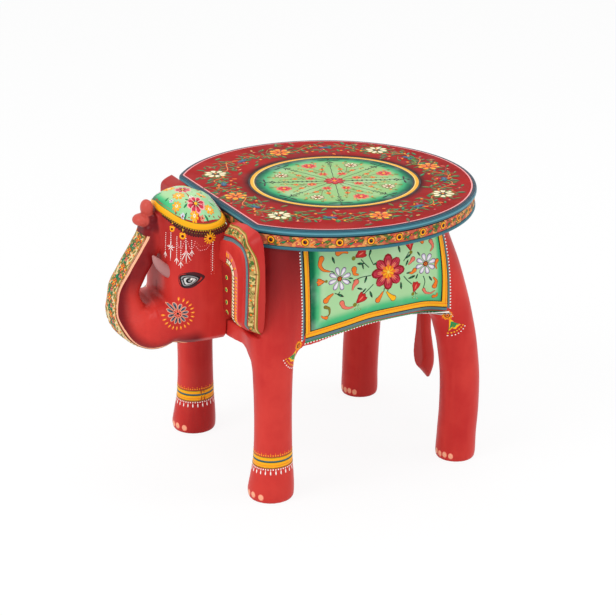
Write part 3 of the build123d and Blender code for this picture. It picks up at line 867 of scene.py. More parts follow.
def path_distance(u, v, path):
    """Distance from points to a path, and whether they lie on its left."""
    best = np.full(np.broadcast_shapes(u.shape, v.shape), 1e9, dtype=np.float32)
    left = np.zeros(best.shape, dtype=bool)
    for (u0, v0), (u1, v1) in zip(path, path[1:]):
        du, dv = u1 - u0, v1 - v0
        t = np.clip(((u - u0) * du + (v - v0) * dv) / (du * du + dv * dv), 0, 1)
        away = np.hypot(u - u0 - t * du, v - v0 - t * dv)
        nearer = away < best
        best = np.where(nearer, away, best)
        left = np.where(nearer, du * (v - v0) - dv * (u - u0) > 0, left)
    return best, left


def ear_form(block, outline, roll_width):
    """An ear: rolled back at its rim, with a fold raised down its middle."""
    x, z = block.x, block.z
    outline = smooth_path(outline, 160)
    away, inside = path_distance(x, z, outline)
    depth = np.where(inside, away, -away)
    depth = np.where((x < EAR_INNER) & (z > 184) & (z < 284), 30.0, depth)
    roll = 1 - (1 - np.clip(depth, 0, roll_width) / roll_width) ** 1.8
    flap, right_of_flap = path_distance(x, z, smooth_path(FLAP_EDGE))
    fold, left_of_fold = path_distance(x, z, smooth_path(FOLD_LINE))
    on_flap = np.where(right_of_flap, flap, -flap)
    before_fold = np.where(left_of_fold, -fold, fold)
    raised = np.clip(on_flap / 3.0 + 0.5, 0, 1) * np.clip(before_fold / 5.0, 0, 1)
    raised = raised * raised * (3 - 2 * raised)
    swell = 2.0 * raised + 0.9 * raised * np.clip(before_fold / 14, 0, 1)
    groove = -1.6 * np.exp(-((fold / 1.7) ** 2)) * np.clip(depth / 6, 0, 1)
    thick = EAR_THICKNESS * roll + swell + groove
    front = -(EAR_BACK + thick) - block.y
    form = np.maximum(front * 0.8, block.y + EAR_BACK)
    return np.maximum(form, -depth)


def ear_shade(x, y, z):
    """Painted shade: the ear is darker low beside the head, and a little beyond its fold."""
    side = np.abs(x)
    return 0.5 * (1 - rising(side, 60, 84)) * (1 - rising(z, 240, 256)) + 0.25 * rising(side, 98, 104)


def far_ear_shade(x, y, z):
    """Painted shade: the right ear is darker at its top."""
    return np.maximum(ear_shade(x, y, z), 0.45 * rising(z, 262, 284))


def build_ears(material):
    """Both ears, nearly the mirror image of each other."""
    block = Block((33, -152, 178), (124, -127, 300), 0.9)
    trees = []
    for side, word, outline, roll, rule in (
        (1, "left", EAR_OUTLINE, 14.0, ear_shade),
        (-1, "right", RIGHT_EAR_OUTLINE, 7.0, far_ear_shade),
    ):
        points, faces = block.surface(ear_form(block, outline, roll))
        points = points * (side, 1, 1)
        faces = faces[:, ::side]
        ear = make_mesh("painted_ear_" + word, points, faces)
        sharpen(ear, 50)
        dress(ear, material, "ear_" + word, rule)
        trees.append(tree_from(points, faces))
    return trees


# ------------------------------------------------------------------ tusks and tail

# Stations along a tusk: y, z, half width and half depth.
TUSK = [
    (-187.0, 233.5, 4.6, 5.4), (-194.5, 238.5, 5.0, 6.0), (-201.5, 245.0, 4.5, 5.4),
    (-207.5, 252.5, 3.2, 3.8), (-210.5, 257.5, 1.3, 1.5),
]
TUSK_X = 24.0
# Level slices of the tail: height, x, y, half width and half depth.
TAIL = [
    (50.5, 0, 131.5, 1.6, 1.4), (58, 0, 129.5, 6.5, 5.0), (70, 0, 126.0, 11.0, 10.8),
    (80, 0, 124.5, 12.3, 12.0), (92, 0, 124.0, 11.0, 10.8), (110, 0, 124.2, 8.6, 8.4),
    (132, 0, 125.0, 7.6, 7.6), (165, 0, 126.5, 7.0, 7.0), (196, 0, 126.0, 7.2, 7.0),
    (216, 0, 124.0, 7.6, 7.0), (226, 0, 121.5, 5.0, 4.5),
]


def build_tusks(material):
    """A bent, pointed wedge on each side of the trunk."""
    grow = 8
    wide = max(s[2] for s in TUSK) + grow
    y, z = [s[0] for s in TUSK], [s[1] for s in TUSK]
    block = Block((-wide, min(y) - grow, min(z) - grow), (wide, max(y) + grow, max(z) + grow), 0.6)
    for side, word in ((1, "left"), (-1, "right")):
        points, faces = block.surface(strip(block, TUSK, 2.2))
        points[:, 0] += side * TUSK_X
        tusk = make_mesh("painted_tusk_" + word, points, faces)
        finish_piece(tusk, [material], ["tusk_" + word])


def build_tail(material):
    """The hanging tail with its pointed tuft."""
    block = Block((-15, 106, 46), (15, 140, 230), 1.0)
    form = np.maximum(upright(block, TAIL, 2.2), np.minimum(118 - block.y, BELLY - block.z))
    tail = make_mesh("painted_tail", *block.surface(form))
    sharpen(tail, 60)
    # The whole tail is a little darker: painted shade.
    dress(tail, material, "tail", lambda x, y, z: 0.12 + 0.0 * x)


# ------------------------------------------------------------------ seat

CORNER = 3.0
MEDALLION_Y = 10.5
MEDALLION = 90.3
BAND_INSET = 2.2
BEAD = 3.5
BEAD_DEPTH = 2.2
BOTTOM_BEAD = 3.5
GROUND_INSET = BEAD + 3.4
TURNS = 540
STRIPES = "line navy bead bead bead bead shine shine bead bead navy bead navy line".split()
RINGS = [
    (MEDALLION + 1.6, "ground"), (MEDALLION - 0.4, "ink"), (MEDALLION - 3.6, "gold"),
    (MEDALLION - 4.6, "pale_gold"), (MEDALLION - 6.4, "ink"),
]
RINGS += [(radius, "garden") for radius in (78.0, 73.0, 68.0, 52.0, 34.0, 17.0, 6.0)]


def seat_distance(x, y):
    """Distance outside the seat's outline: a disc with a straight front edge."""
    disc = np.hypot(x, y) - SEAT_RADIUS
    front = -SEAT_FRONT - y
    outside = np.hypot(np.maximum(disc + CORNER, 0), np.maximum(front + CORNER, 0))
    return np.minimum(np.maximum(disc, front), -CORNER) + outside


def seat_reach(angles, inset):
    """How far the outline lies from the medallion's middle, drawn in by an inset."""
    low, high = np.full(len(angles), 20.0), np.full(len(angles), 200.0)
    for _ in range(40):
        middle = (low + high) / 2
        x, y = middle * np.cos(angles), MEDALLION_Y + middle * np.sin(angles)
        outside = seat_distance(x, y) > -inset
        high = np.where(outside, middle, high)
        low = np.where(outside, low, middle)
    return low


def half_round(inset, depth, radius, low, count=7):
    """Rows of a bead that stands out from the rim, from its foot to its top."""
    rows = []
    for i in range(count + 1):
        angle = math.pi * (i / count - 0.5)
        rows.append((inset + depth * (1 - math.cos(angle)), low + radius * (1 + math.sin(angle))))
    return rows


def seat_shade(x, y, z):
    """The medallion darkens to its border, and a dark halo lies around it."""
    away = np.hypot(x, y - MEDALLION_Y)
    inside = rising(away, 64, MEDALLION - 6)
    halo = 1 - rising(away, MEDALLION + 1, MEDALLION + 12)
    return np.where(away < MEDALLION - 3, inside, halo)


def build_seat(paint_names, materials):
    """The seat from its underside over its moulded rim to the middle of its top."""
    angles = np.linspace(0, 2 * math.pi, TURNS, endpoint=False)
    low, high = UNDERSIDE + BOTTOM_BEAD, SEAT_TOP - 2 * BEAD
    rows = [("scale", share, UNDERSIDE, "under") for share in (0.15, 0.5, 0.8)]
    for inset, z in half_round(1.0, BOTTOM_BEAD / 2, BOTTOM_BEAD / 2, UNDERSIDE):
        rows.append(("inset", inset, z, "bead"))
    rows += [
        ("inset", 3.4, low + 0.1, "line"),
        ("inset", BAND_INSET + 0.1, low + 0.5, "line"),
        ("inset", BAND_INSET, low + 1.1, "band"),
        ("inset", BAND_INSET, high - 1.3, "band"),
        ("inset", BAND_INSET + 0.1, high - 0.5, "line"),
        ("inset", 3.3, high, "line"),
    ]
    for name, (inset, z) in zip(STRIPES, half_round(0.0, BEAD_DEPTH, BEAD, high, len(STRIPES))[1:]):
        rows.append(("inset", inset, z, name))
    edges = ((BEAD, "navy"), (BEAD + 1.0, "line"), (BEAD + 2.5, "pale"), (GROUND_INSET, "ground"))
    rows += [("inset", inset, SEAT_TOP, name) for inset, name in edges]
    rows += [("blend", share, SEAT_TOP, "ground") for share in (0.2, 0.45, 0.7, 0.88)]
    rows += [("ring", radius, SEAT_TOP, name) for radius, name in RINGS]
    points, faces, names = [], [], []
    start = seat_reach(angles, GROUND_INSET)
    for kind, value, z, name in rows:
        if kind == "inset":
            reach = seat_reach(angles, value)
        elif kind == "scale":
            reach = seat_reach(angles, 3.0) * value
        elif kind == "blend":
            reach = start + (MEDALLION + 2.4 - start) * value
        else:
            reach = np.full(TURNS, value)
        for angle, away in zip(angles, reach):
            points.append((away * math.cos(angle), MEDALLION_Y + away * math.sin(angle), z))
    for row in range(len(rows) - 1):
        name = rows[row + 1][3]
        for i in range(TURNS):
            j = (i + 1) % TURNS
            a, b = row * TURNS, (row + 1) * TURNS
            faces.append((a + i, a + j, b + j, b + i))
            names.append(name)
    points.append((0, MEDALLION_Y, UNDERSIDE))
    points.append((0, MEDALLION_Y, SEAT_TOP))
    last = (len(rows) - 1) * TURNS
    for i in range(TURNS):
        j = (i + 1) % TURNS
        faces.append((len(points) - 2, j, i))
        names.append("under")
        faces.append((last + i, last + j, len(points) - 1))
        names.append("garden")
    seat = make_mesh("painted_seat", points, faces)
    sharpen(seat, 40)
    finish_piece(seat, materials, ["seat_board"])
    seat.data.polygons.foreach_set("material_index", [paint_names.index(n) for n in names])
    shade_piece(seat, seat_shade)


# ------------------------------------------------------------------ painted seat


def on_seat(u, v):
    """A canvas on the seat's flat top: u is x and v is y."""
    return Vector((u, v, SEAT_TOP)), Vector((0, 0, 1))


def around(radius, degrees):
    """A point on the seat at a distance and angle from the medallion's middle."""
    angle = math.radians(degrees)
    return radius * math.cos(angle), MEDALLION_Y + radius * math.sin(angle)


# Flowers of the seat's border, as (x, y) in the seat's plane.
DAISIES = [(-80, -92.5), (78, -93.5), (-80, 105.5), (91, 91)]
MARIGOLDS = [(-121, 5), (0, 126.5), (124, -2), (0, -106)]
BUDS = [(-110.5, -46), (107, -51), (-115, 59), (115.5, 47.5), (-43.5, -99.5), (40.5, -103)]
BUDS += [(-39, 122.5), (48, 118)]
SMALL_LEAVES = 150


def daisy(p, u, v):
    """A round flower of pale petals."""
    turn = rng.uniform(0, 1)
    p.petals(u, v, 8, turn, 0, (2.34, 11.18, 9.62, "olive"), (3.38, 9.1, 6.76, "cream"))
    p.discs(u, v, 2, (4.68, "dark_green"), (3.25, "deep_red"), (1.43, "yellow"))


def marigold(p, u, v):
    """A round flower of orange petals."""
    turn = rng.uniform(0, 1)
    rings = (2.6, 10.92, 10.66, "deep_red"), (3.38, 9.1, 7.54, "yellow"), (2.34, 7.54, 5.98, "orange")
    p.petals(u, v, 7, turn, 0, *rings)
    p.discs(u, v, 3, (3.38, "deep_red"), (1.69, "yellow"))


def bud(p, u, v, turn):
    """A closed bud with a lighter stripe."""
    rings = (-9.5, 19.0, 11.78, "ink"), (-8.17, 16.34, 8.74, "blue"), (-3.8, 9.5, 3.04, "teal")
    p.petals(u, v, 1, turn, 0, *rings, point=0.5)


def paint_garland(p, place, swing):
    """A wavy stem from one flower or bud to the next, with leaves and two curling tendrils."""
    wave = [place(k / 14, 7.0 * swing * math.sin(2 * math.pi * k / 14)) for k in range(15)]
    p.stroke(wave[1:-1], 2.0, "brown", 0)
    p.stroke(wave[2:-2], 1.3, "orange", 1)
    for k in range(2, 13):
        side = 1 if k % 2 else -1
        turn = bearing(wave[k], wave[k + 1]) + side * rng.uniform(0.6, 1.3)
        colour = rng.choice(("leaf", "green", "olive", "moss"))
        p.leaf(*wave[k], turn, rng.uniform(9.0, 13.0), rng.uniform(4.4, 6.0), colour)
    for side, depth in ((-1, -12.5), (1, 15.0)):
        middle = 0.5 + 0.12 * side * swing
        curl = ((middle - 0.2, 0.25), (middle, 0.7), (middle + 0.17, 1.0))
        p.line([place(t, share * depth) for t, share in curl], 1.3, "brown")
        p.line([place(middle - 0.12, 0.4 * depth), place(middle - 0.26, depth)], 1.0, "olive")
        for t, share in ((middle - 0.26, 1.0), (middle + 0.17, 1.05), (middle - 0.02, 0.78)):
            at = place(t, depth * share)
            turn = bearing((0, MEDALLION_Y), at) + rng.uniform(0.8, 2.2) * rng.choice((-1, 1))
            size = rng.uniform(7.5, 10.0), rng.uniform(3.8, 5.0)
            p.leaf(*at, turn, *size, rng.choice(("leaf", "olive", "moss")))
        berry = (2.6, "deep_red"), (2.0, "rose_red" if side > 0 else "orange"), (0.8, "yellow")
        p.discs(*place(middle + 0.06, depth * 0.95), 1, *berry)
        p.dot(*place(middle - 0.34, depth * 0.6), 1.1, "yellow", 1)


def paint_seat_border(p):
    """The red ground's ring of flowers, buds, garlands and small leaves."""
    centre = (0, MEDALLION_Y)
    stops = sorted((bearing(centre, at), math.dist(centre, at)) for at in DAISIES + MARIGOLDS + BUDS)
    for i, (angle, away) in enumerate(stops):
        after, away_after = stops[(i + 1) % len(stops)]
        gap = (after - angle) % (2 * math.pi)

        def place(t, sideways):
            return around(away + (away_after - away) * t + sideways, math.degrees(angle + gap * t))

        paint_garland(p, place, 1 if i % 2 else -1)
    for i in range(SMALL_LEAVES):
        angle = 2 * math.pi * (i + rng.uniform(-0.4, 0.4)) / SMALL_LEAVES
        inner, outer = MEDALLION + 11.0, float(seat_reach(np.array([angle]), 13.0)[0])
        at = around(inner + (outer - inner) * rng.random(), math.degrees(angle))
        turn = rng.uniform(0, 2 * math.pi)
        if i % 4:
            colour = rng.choice(("leaf", "olive", "moss", "green"))
            p.leaf(*at, turn, rng.uniform(10.0, 15.0), rng.uniform(5.0, 7.0), colour)
        else:
            length = rng.uniform(4.5, 7.0)
            p.petal(*at, turn, length, 3.0, rng.choice(("rose_red", "salmon", "orange", "tan")), 0, 0.5)
    for flower, places in ((daisy, DAISIES), (marigold, MARIGOLDS)):
        for u, v in places:
            turn = rng.uniform(0, 1)
            for k in range(5):
                leaf_turn = turn + 2 * math.pi * k / 5
                at = (u + 8.5 * math.cos(leaf_turn), v + 8.5 * math.sin(leaf_turn))
                p.leaf(*at, leaf_turn + 0.4, 10.0, 5.0, "leaf" if k % 2 else "moss")
            flower(p, u, v)
    for u, v in BUDS:
        turn = bearing(centre, (u, v)) + math.pi / 2
        for side, colour in ((-1, "orange"), (1, "rose_red")):
            p.leaf(u, v, turn + side * 2.5, 11, 5, "green")
            p.petal(u, v, turn + side * 0.9, 9.5, 3.6, colour, 0, 0.5, 2.0)
        bud(p, u, v, turn)


# Tendrils beside a spray: distance of both ends from the middle, spread in degrees and colour.
TENDRILS = ((32, 47, 11, "umber"), (40, 58, 15, "olive"), (50, 72, 8, "umber"), (20, 34, 9, "olive"))


def paint_stem(p, degrees, bold):
    """A black stem with barbs that spreads at the medallion's border."""
    angle = math.radians(degrees)
    sway = 1.4 if bold else 0.4
    stem = [around(r, degrees + sway * math.sin(r / 2.3)) for r in range(10, 79, 2)]
    p.stroke(stem, 1.5 if bold else 0.8, "ink")
    for r in range(18, 76, 5):
        if bold or r > 52:
            for side in (-1, 1):
                p.petal(*around(r, degrees), angle + side * 0.8, 3.6, 1.3, "ink", 0, 0.6)
    for side in (-1, 1):
        p.petal(*around(74.5, degrees), angle + side * 1.5, 12.5, 3.6, "ink", 0, 0.7, 1.0)
        p.petal(*around(69, degrees), angle + side * 2.2, 6.5, 2.2, "ink", 0, 0.7)
    p.dot(*around(79.5, degrees), 1.7, "ink")


def paint_spray(p, degrees, pale):
    """A brown spray with tendrils and small flowers, and a pale or a red flower at its end."""
    angle = math.radians(degrees)
    p.stroke([around(r, degrees + 2.5 * math.sin(r / 7)) for r in range(12, 60, 3)], 0.8, "umber")
    for side in (-1, 1):
        for first, last, spread, colour in TENDRILS:
            bend = around((first + last) / 2, degrees + side * spread * 0.75)
            tip = around(last, degrees + side * spread)
            p.line([around(first, degrees + side * 1.5), bend, tip], 0.6, colour)
            p.dot(*tip, 1.2, colour)
    here = around(27, degrees)
    p.petals(*here, 6, angle, 1, (0.8, 5.0, 3.8, "salmon"), (0.6, 3.6, 2.8, "red"))
    p.dot(*here, 1.3, "orange" if pale else "yellow", 3)
    for side in (-1, 1):
        p.leaf(*around(35, degrees + side * 3), angle + side * 0.9, 6.5, 2.8, "leaf", "umber", 1)
        here = around(43, degrees + side * 9)
        p.petals(*here, 5, angle, 1, (0.2, 3.0, 2.4, "orange"))
        p.dot(*here, 0.9, "deep_red", 2)
        here = around(53, degrees + side * 15)
        p.petals(*here, 3, angle + side * 1.2, 1, (0.2, 3.2, 2.2, "tan"))
        p.dot(*here, 0.8, "brown", 2)
        p.dot(*around(66, degrees + side * 9), 1.3, "orange", 1)
        p.petal(*around(69, degrees + side * 6), angle + side * 0.5, 5.5, 2.0, "leaf", 1, 0.6)
    here = around(60, degrees)
    if pale:
        p.petals(*here, 8, angle, 1, (1.4, 6.8, 4.2, "umber"), (1.9, 5.5, 2.9, "cream"))
        p.discs(*here, 3, (2.2, "brown"), (1.2, "orange"))
    else:
        rings = (1.6, 7.4, 5.4, "salmon"), (1.4, 5.8, 4.0, "red"), (1.2, 3.2, 1.6, "rose")
        p.petals(*here, 8, angle, 1, *rings)
        p.dot(*here, 1.9, "yellow", 4)


def paint_medallion(p):
    """Eight black stems from a red flower, with sprays of flowers between them."""
    for i in range(8):
        paint_stem(p, 22.5 + 45 * i, i in (1, 5))
    for i in range(8):
        paint_spray(p, 45 * i, i % 2)
    rings = (2.0, 10.2, 7.6, "deep_red"), (2.4, 9.0, 6.0, "red"), (1.6, 6.0, 2.6, "rose")
    p.petals(0, MEDALLION_Y, 8, 0.39, 2, *rings)
    p.discs(0, MEDALLION_Y, 5, (2.8, "orange"), (1.3, "yellow"))


def paint_rim(p, radius):
    """Gold circles and pairs of leaves around the rim's band."""
    middle = (UNDERSIDE + BOTTOM_BEAD + SEAT_TOP - 2 * BEAD) / 2
    degrees = [-47.7, -34.9, -22.4, -10.8, 0.4] + [10.9 + 10.84 * k for k in range(21)]
    places = [radius * math.radians(d) for d in degrees]
    for u, after in zip(places, places[1:] + [None]):
        p.dot(u, middle, 4.6, "brown", 0, count=14)
        p.dot(u, middle, 4.1, "yellow", 1, count=14)
        p.discs(u, middle, 2, (3.0, "orange"), (2.5, "deep_red"), (1.8, "ink"))
        p.dot(u + 0.5, middle + 0.6, 0.7, "leaf", 5)
        if after is None:
            continue
        mid = (u + after) / 2
        for side, colour, tip_turn in ((-1, "green", 3.6), (1, "leaf", 0.5)):
            turn = 0.35 - 0.5 * math.pi + side * 1.5
            p.leaf(mid + side, middle, turn, 8.4, 4.0, colour)
            p.leaf(mid + side * 4.4, middle - side * 2.2, turn + 0.9 * side, 4.6, 2.6, "olive")
            p.petal(mid + side * 8.4, middle + side * 1.6, tip_turn, 4.2, 2.6, "orange", 0, 0.5)
            p.dot(mid + side * 6.4, middle + side * 3.0, 0.9, "red", 1)
            p.dot(mid + side * 10.6, middle - side * 2.6, 0.7, "pale_yellow", 1)
        wave = ((-10, -2), (-3, 1.4), (4, -1.4), (10, 2))
        p.line([(mid + a, middle + b) for a, b in wave], 0.6, "brown")
        p.discs(mid, middle, 2, (1.5, "deep_red"), (0.9, "yellow"))


# ------------------------------------------------------------------ painted body

PANEL_FRONT = -76.0
PANEL_REAR = 77.5
PANEL_TOP = 276.0
# Half-open flowers of the side panel: place, turn, size and colour.
TULIPS = [
    (-20.5, 255.6, 0.4, 13.0, "red"), (-20.2, 206.4, 0.7, 13.0, "red"), (41.6, 253.8, 1.7, 11.5, "red"),
    (46.6, 207.4, 1.2, 11.5, "red"), (-61.2, 234.0, 3.1, 9.0, "orange"),
]
BOLD = 1.45
# Teardrop strokes of the side panel: path, width and colour.
COMMAS = [
    ([(-62.0, 258.5), (-64.2, 252.5), (-60.5, 246.5), (-53.0, 243.6)], 4.2, "orange"),
    ([(-43.0, 261.8), (-38.0, 262.6), (-31.5, 260.0)], 4.6, "orange"),
    ([(-58.0, 213.0), (-54.5, 216.5), (-49.5, 219.5)], 4.4, "orange"),
    ([(-58.5, 206.0), (-54.0, 203.5), (-53.4, 198.5), (-56.0, 194.5)], 2.4, "olive"),
    ([(-57.0, 193.8), (-60.5, 194.6), (-63.0, 197.0)], 2.8, "orange"),
    ([(-39.6, 207.5), (-37.0, 202.4), (-31.0, 200.4), (-25.5, 201.0)], 4.0, "salmon"),
    ([(-25.2, 241.8), (-25.0, 237.0), (-20.0, 235.0)], 4.4, "orange"),
    ([(-23.0, 227.8), (-26.0, 224.0), (-27.6, 219.5)], 4.4, "salmon"),
    ([(2.6, 203.4), (5.6, 207.2), (8.6, 212.0)], 4.2, "orange"),
    ([(21.0, 202.6), (17.0, 206.0), (12.6, 211.4)], 4.6, "yellow"),
    ([(44.6, 241.5), (41.0, 238.0), (38.5, 236.4)], 3.6, "salmon"),
    ([(46.4, 229.0), (42.6, 226.6), (38.8, 227.4)], 3.4, "orange"),
    ([(66.0, 257.5), (68.4, 252.0), (65.0, 246.8)], 3.2, "salmon"),
    ([(72.4, 236.0), (70.6, 231.4), (72.0, 227.0)], 2.8, "orange"),
    ([(69.8, 208.0), (71.4, 213.4), (68.0, 218.4)], 3.6, "orange"),
    ([(58.0, 205.6), (60.8, 201.4), (66.0, 200.2), (70.6, 203.2)], 2.4, "salmon"),
    ([(69.5, 196.2), (72.8, 197.0), (73.0, 200.4)], 2.4, "orange"),
    ([(6.0, 262.0), (1.0, 264.4), (-4.6, 262.4)], 2.6, "salmon"),
    ([(56.0, 258.0), (52.6, 261.0), (50.8, 264.8)], 2.4, "orange"),
]
# Thin stems of the side panel.
PANEL_STEMS = [
    [(-6.0, 232.0), (-14.0, 232.0), (-26.7, 229.6)], [(-8.0, 241.0), (-12.5, 245.6), (-17.0, 251.0)],
    [(-3.0, 244.0), (-5.6, 249.0), (-7.6, 254.0)], [(-3.0, 222.0), (-9.0, 217.0), (-14.0, 213.0)],
    [(-29.0, 227.4), (-32.0, 231.0), (-36.0, 233.0)], [(33.0, 241.0), (37.0, 246.0), (40.0, 250.0)],
    [(33.0, 225.0), (38.0, 219.0), (43.0, 214.4)], [(10.0, 216.0), (9.6, 212.8), (8.6, 211.0)],
    [(16.0, 216.0), (14.6, 212.8), (13.0, 211.0)], [(-42.0, 220.5), (-44.0, 218.0), (-48.0, 219.6)],
    [(-47.6, 241.0), (-51.0, 243.6), (-54.0, 244.0)], [(47.0, 205.0), (48.6, 202.5), (49.0, 200.6)],
    [(57.0, 221.0), (59.0, 214.0), (57.4, 207.0)],
]
# Small leaves of the side panel: place, turn and size.
PANEL_LEAVES = [
    (-47.3, 250.8, 1.9, 6.4), (-7.7, 252.6, 1.2, 6.2), (-12.8, 245.8, 3.0, 6.6),
    (-4.0, 243.0, 0.2, 5.6), (-14.2, 239.6, 1.8, 5.0), (-13.6, 224.4, 1.2, 6.2),
    (-15.0, 218.4, 2.8, 5.6), (-7.4, 215.8, -1.2, 6.6), (-11.0, 219.4, -2.4, 5.0),
    (29.2, 250.4, 1.8, 6.4), (35.0, 243.2, 0.5, 6.2), (35.4, 235.2, 1.1, 5.6), (35.6, 227.4, 0.0, 5.6),
    (38.0, 221.0, 0.2, 7.0), (29.6, 219.8, -1.5, 6.6), (-46.0, 218.8, -0.5, 7.0),
    (-26.0, 232.0, 2.9, 4.6), (50.6, 224.8, -2.0, 4.8), (63.0, 220.4, -1.0, 5.2),
    (53.6, 243.2, 2.2, 4.8),
]
PANEL_FOOT = [(-84, 176.4), (-72, 178.2), (-38, 183.0), (2, 188.2), (43, 188.9), (86, 186.4)]


def panel_foot(y):
    """Height of the yellow band that runs along the panel's lower edge."""
    return float(flowing(np.array([y]), *zip(*PANEL_FOOT))[0])


def panel_border(y, z):
    """How near a point of the panel lies to its border."""
    front = 1 - rising(y - PANEL_FRONT, 2, 17)
    rear = 0.7 * (1 - rising(PANEL_REAR - y, 0, 8))
    foot = 0.72 * (1 - rising(z - panel_foot(y), 2, 19))
    top = 0.25 * rising(z, 262, 277)
    return float(max(front, rear, foot, top))


def sized(size, *rings):
    """Rings of petals whose measures are shares of a flower's size."""
    return [(a * size, b * size, c * size, colour) for a, b, c, colour in rings]


def paint_tulip(p, u, v, turn, size, colour):
    """A half-open flower of three pointed petals on a green cup."""
    p.petal(u, v, turn, size * 1.25, size * 0.95, "deep_red", 0, 0.45, -0.35 * size)
    for side in (-1, 1):
        rings = sized(size, (-0.3, 1.2, 0.62, "deep_red"), (-0.2, 1.0, 0.42, colour))
        p.petals(u, v, 1, turn + side * 0.5, 0, *rings, point=0.5)
    p.petal(u, v, turn, size * 1.05, size * 0.6, colour, 2, 0.5, -0.22 * size)
    p.petal(u, v, turn, size * 0.6, size * 0.2, "salmon", 3, 0.5)
    p.dot(*p.turned(u, v, turn, [(-0.42 * size, 0)])[0], 0.2 * size, "olive", 1)


def paint_rose(p, u, v):
    """The panel's large red flower with eight petals and a star at its heart."""
    turns = [math.pi / 2 + k * math.pi / 4 for k in range(8)]
    for k, turn in enumerate(turns):
        p.petal(u, v, turn, 15.5 if k % 2 else 16.5, 13.4, "deep_red", 3, 0.34, 3.4)
    for turn in turns:
        p.petal(u, v, turn, 14.8, 11.0, "rose_red", 4, 0.34, 3.8)
        p.petal(u, v, turn, 10.5, 6.4, "salmon", 4.5, 0.34, 4.2)
        for side in (-0.16, 0, 0.16):
            p.petal(u, v, turn + side, 8.0, 1.1, "deep_red", 5, 0.5, 8.4)
    p.petals(u, v, 8, math.pi / 2, 6, (0.5, 9.0, 4.6, "orange"), point=0.5)
    p.petals(u, v, 8, math.pi / 8, 7, (0.5, 6.6, 2.6, "yellow"), point=0.5)
    p.dot(u, v, 1.8, "pale_yellow", 8)


def paint_panel(p):
    """The garden panel on the left side of the body."""
    columns = []
    for j in range(73):
        y = PANEL_FRONT - 2 + (PANEL_REAR - PANEL_FRONT + 4) * j / 72
        columns.append((y, panel_foot(y)))
    grid = [[(y, low + (PANEL_TOP + 1 - low) * i / 26) for y, low in columns] for i in range(27)]
    p.sheet(grid, "garden", panel_border)
    front = [(-79.4, PANEL_TOP), (-79.2, 250), (-78.8, 215), (-76.9, 177.6)]
    rear = [(79.3, PANEL_TOP), (80.4, 250), (81.2, 220), (81.0, 186.6)]
    for path in (front, rear):
        p.line(path, 8.4, "ink", 2)
        p.line(path, 6.6, "gold", 3)
        p.line([(y + 1.1, z) for y, z in path], 1.1, "orange", 5)
    foot = [(y, z) for y, z in PANEL_FOOT if -80 < y < 81]
    foot = [(-79.6, panel_foot(-79.6))] + foot + [(83.6, panel_foot(83.6))]
    p.line(foot, 8.0, "ink", 2)
    p.line(foot, 6.2, "gold", 4)
    p.line([(y, z + 1.0) for y, z in foot], 1.0, "orange", 5)
    front = [(-84.6, PANEL_TOP - 1), (-84.4, 250), (-84.0, 215), (-82.2, 172.5)]
    rear = [(83.9, PANEL_TOP - 1), (84.9, 250), (85.5, 220), (85.1, 182.0)]
    for path, out, radius, layer in ((front, -1.8, 0.95, 3), (rear, 1.9, 0.9, 2)):
        p.line(path, 2.2, "slate", 1)
        p.dots([(y + out, z) for y, z in path], radius, 3.3, "white", layer)
    below = [(y, z - 5.6) for y, z in foot]
    p.line(below, 3.2, "slate", 1)
    below = [(y, z - 8.0 - 0.007 * (y + 84)) for y, z in foot]
    p.line(below, 1.6, "green", 2)
    p.dots([(y, z - 1.3) for y, z in below], 0.9, 3.3, "white", 3)

    paint_rose(p, 14.5, 232.6)
    for u, v, size in ((-42.2, 234.4, 13.6), (59.3, 234.2, 12.2)):
        p.petals(u, v, 8, 0.25, 1, (2.4, size - 2.2, 6.4, "plum"), (3.0, size - 3.6, 5.1, "lilac"))
        p.petals(u, v, 8, 0.25, 3, (3.6, size - 5.6, 2.4, "white"), point=0.5)
        p.discs(u, v, 4, (3.1, "brown"), (1.9, "orange"), (0.9, "ink"))
    for u, v, turn, size, colour in TULIPS:
        paint_tulip(p, u, v, turn, size, colour)
    for u, v, turn in ((-20.8, 198.6, 1.4), (48.5, 199.0, 1.2)):
        p.petals(u, v, 3, turn, 1, (0.3, 4.2, 2.4, "olive"), (0.5, 3.2, 1.3, "mint"))
    for path, width, colour in COMMAS:
        p.comma(path, BOLD * width, colour)
    for stem in PANEL_STEMS:
        p.line(stem, 1.2, "dark_green", 1, 1.5)
    for u, v, turn, size in PANEL_LEAVES:
        size *= BOLD
        p.petal(u, v, turn, size, 0.42 * size, "ink", 1, 0.7)
        vein = p.turned(u, v, turn, [(0.2 * size, 0)])[0]
        p.petal(*vein, turn, 0.5 * size, 0.14 * size, "green", 2, 0.6)


def paint_tassel(p, u, v, lean):
    """A gold star and a green pendant with a fringe, at a corner of the panel."""
    p.petals(u, v, 10, 0.0, 0, (2.4, 3.6, 1.7, "orange"))
    p.petals(u, v, 10, 0.3, 1, (2.2, 2.8, 1.3, "yellow"))
    p.discs(u, v, 2, (2.7, "ink"), (2.2, "orange"), (1.0, "deep_red"))
    down = -math.pi / 2 + lean
    outer = [(5.0, 0.8), (5.0, -0.8), (17.0, -8.4), (18.2, 0.0), (17.0, 8.4)]
    middle = [(a * 0.97 + 0.4, b * 0.92) for a, b in outer]
    inner = [(7.4, 0.5), (7.4, -0.5), (15.2, -6.0), (16.0, 0.0), (15.2, 6.0)]
    heart = [(10.0, 0), (14.2, -2.6), (14.2, 2.6)]
    shapes = ((outer, "ink"), (middle, "yellow"), (inner, "green"), (heart, "leaf"))
    for layer, (corners, colour) in enumerate(shapes):
        p.shape(p.turned(u, v, down, corners), colour, layer)
    for k in range(-3, 4):
        ends = [(20.2 - 0.16 * k * k, 2.9 * k), (23.6 - 0.26 * k * k, 3.4 * k)]
        knot, end = p.turned(u, v, down, ends)
        p.dot(*knot, 0.8, "yellow")
        p.dot(*end, 0.75, "white")


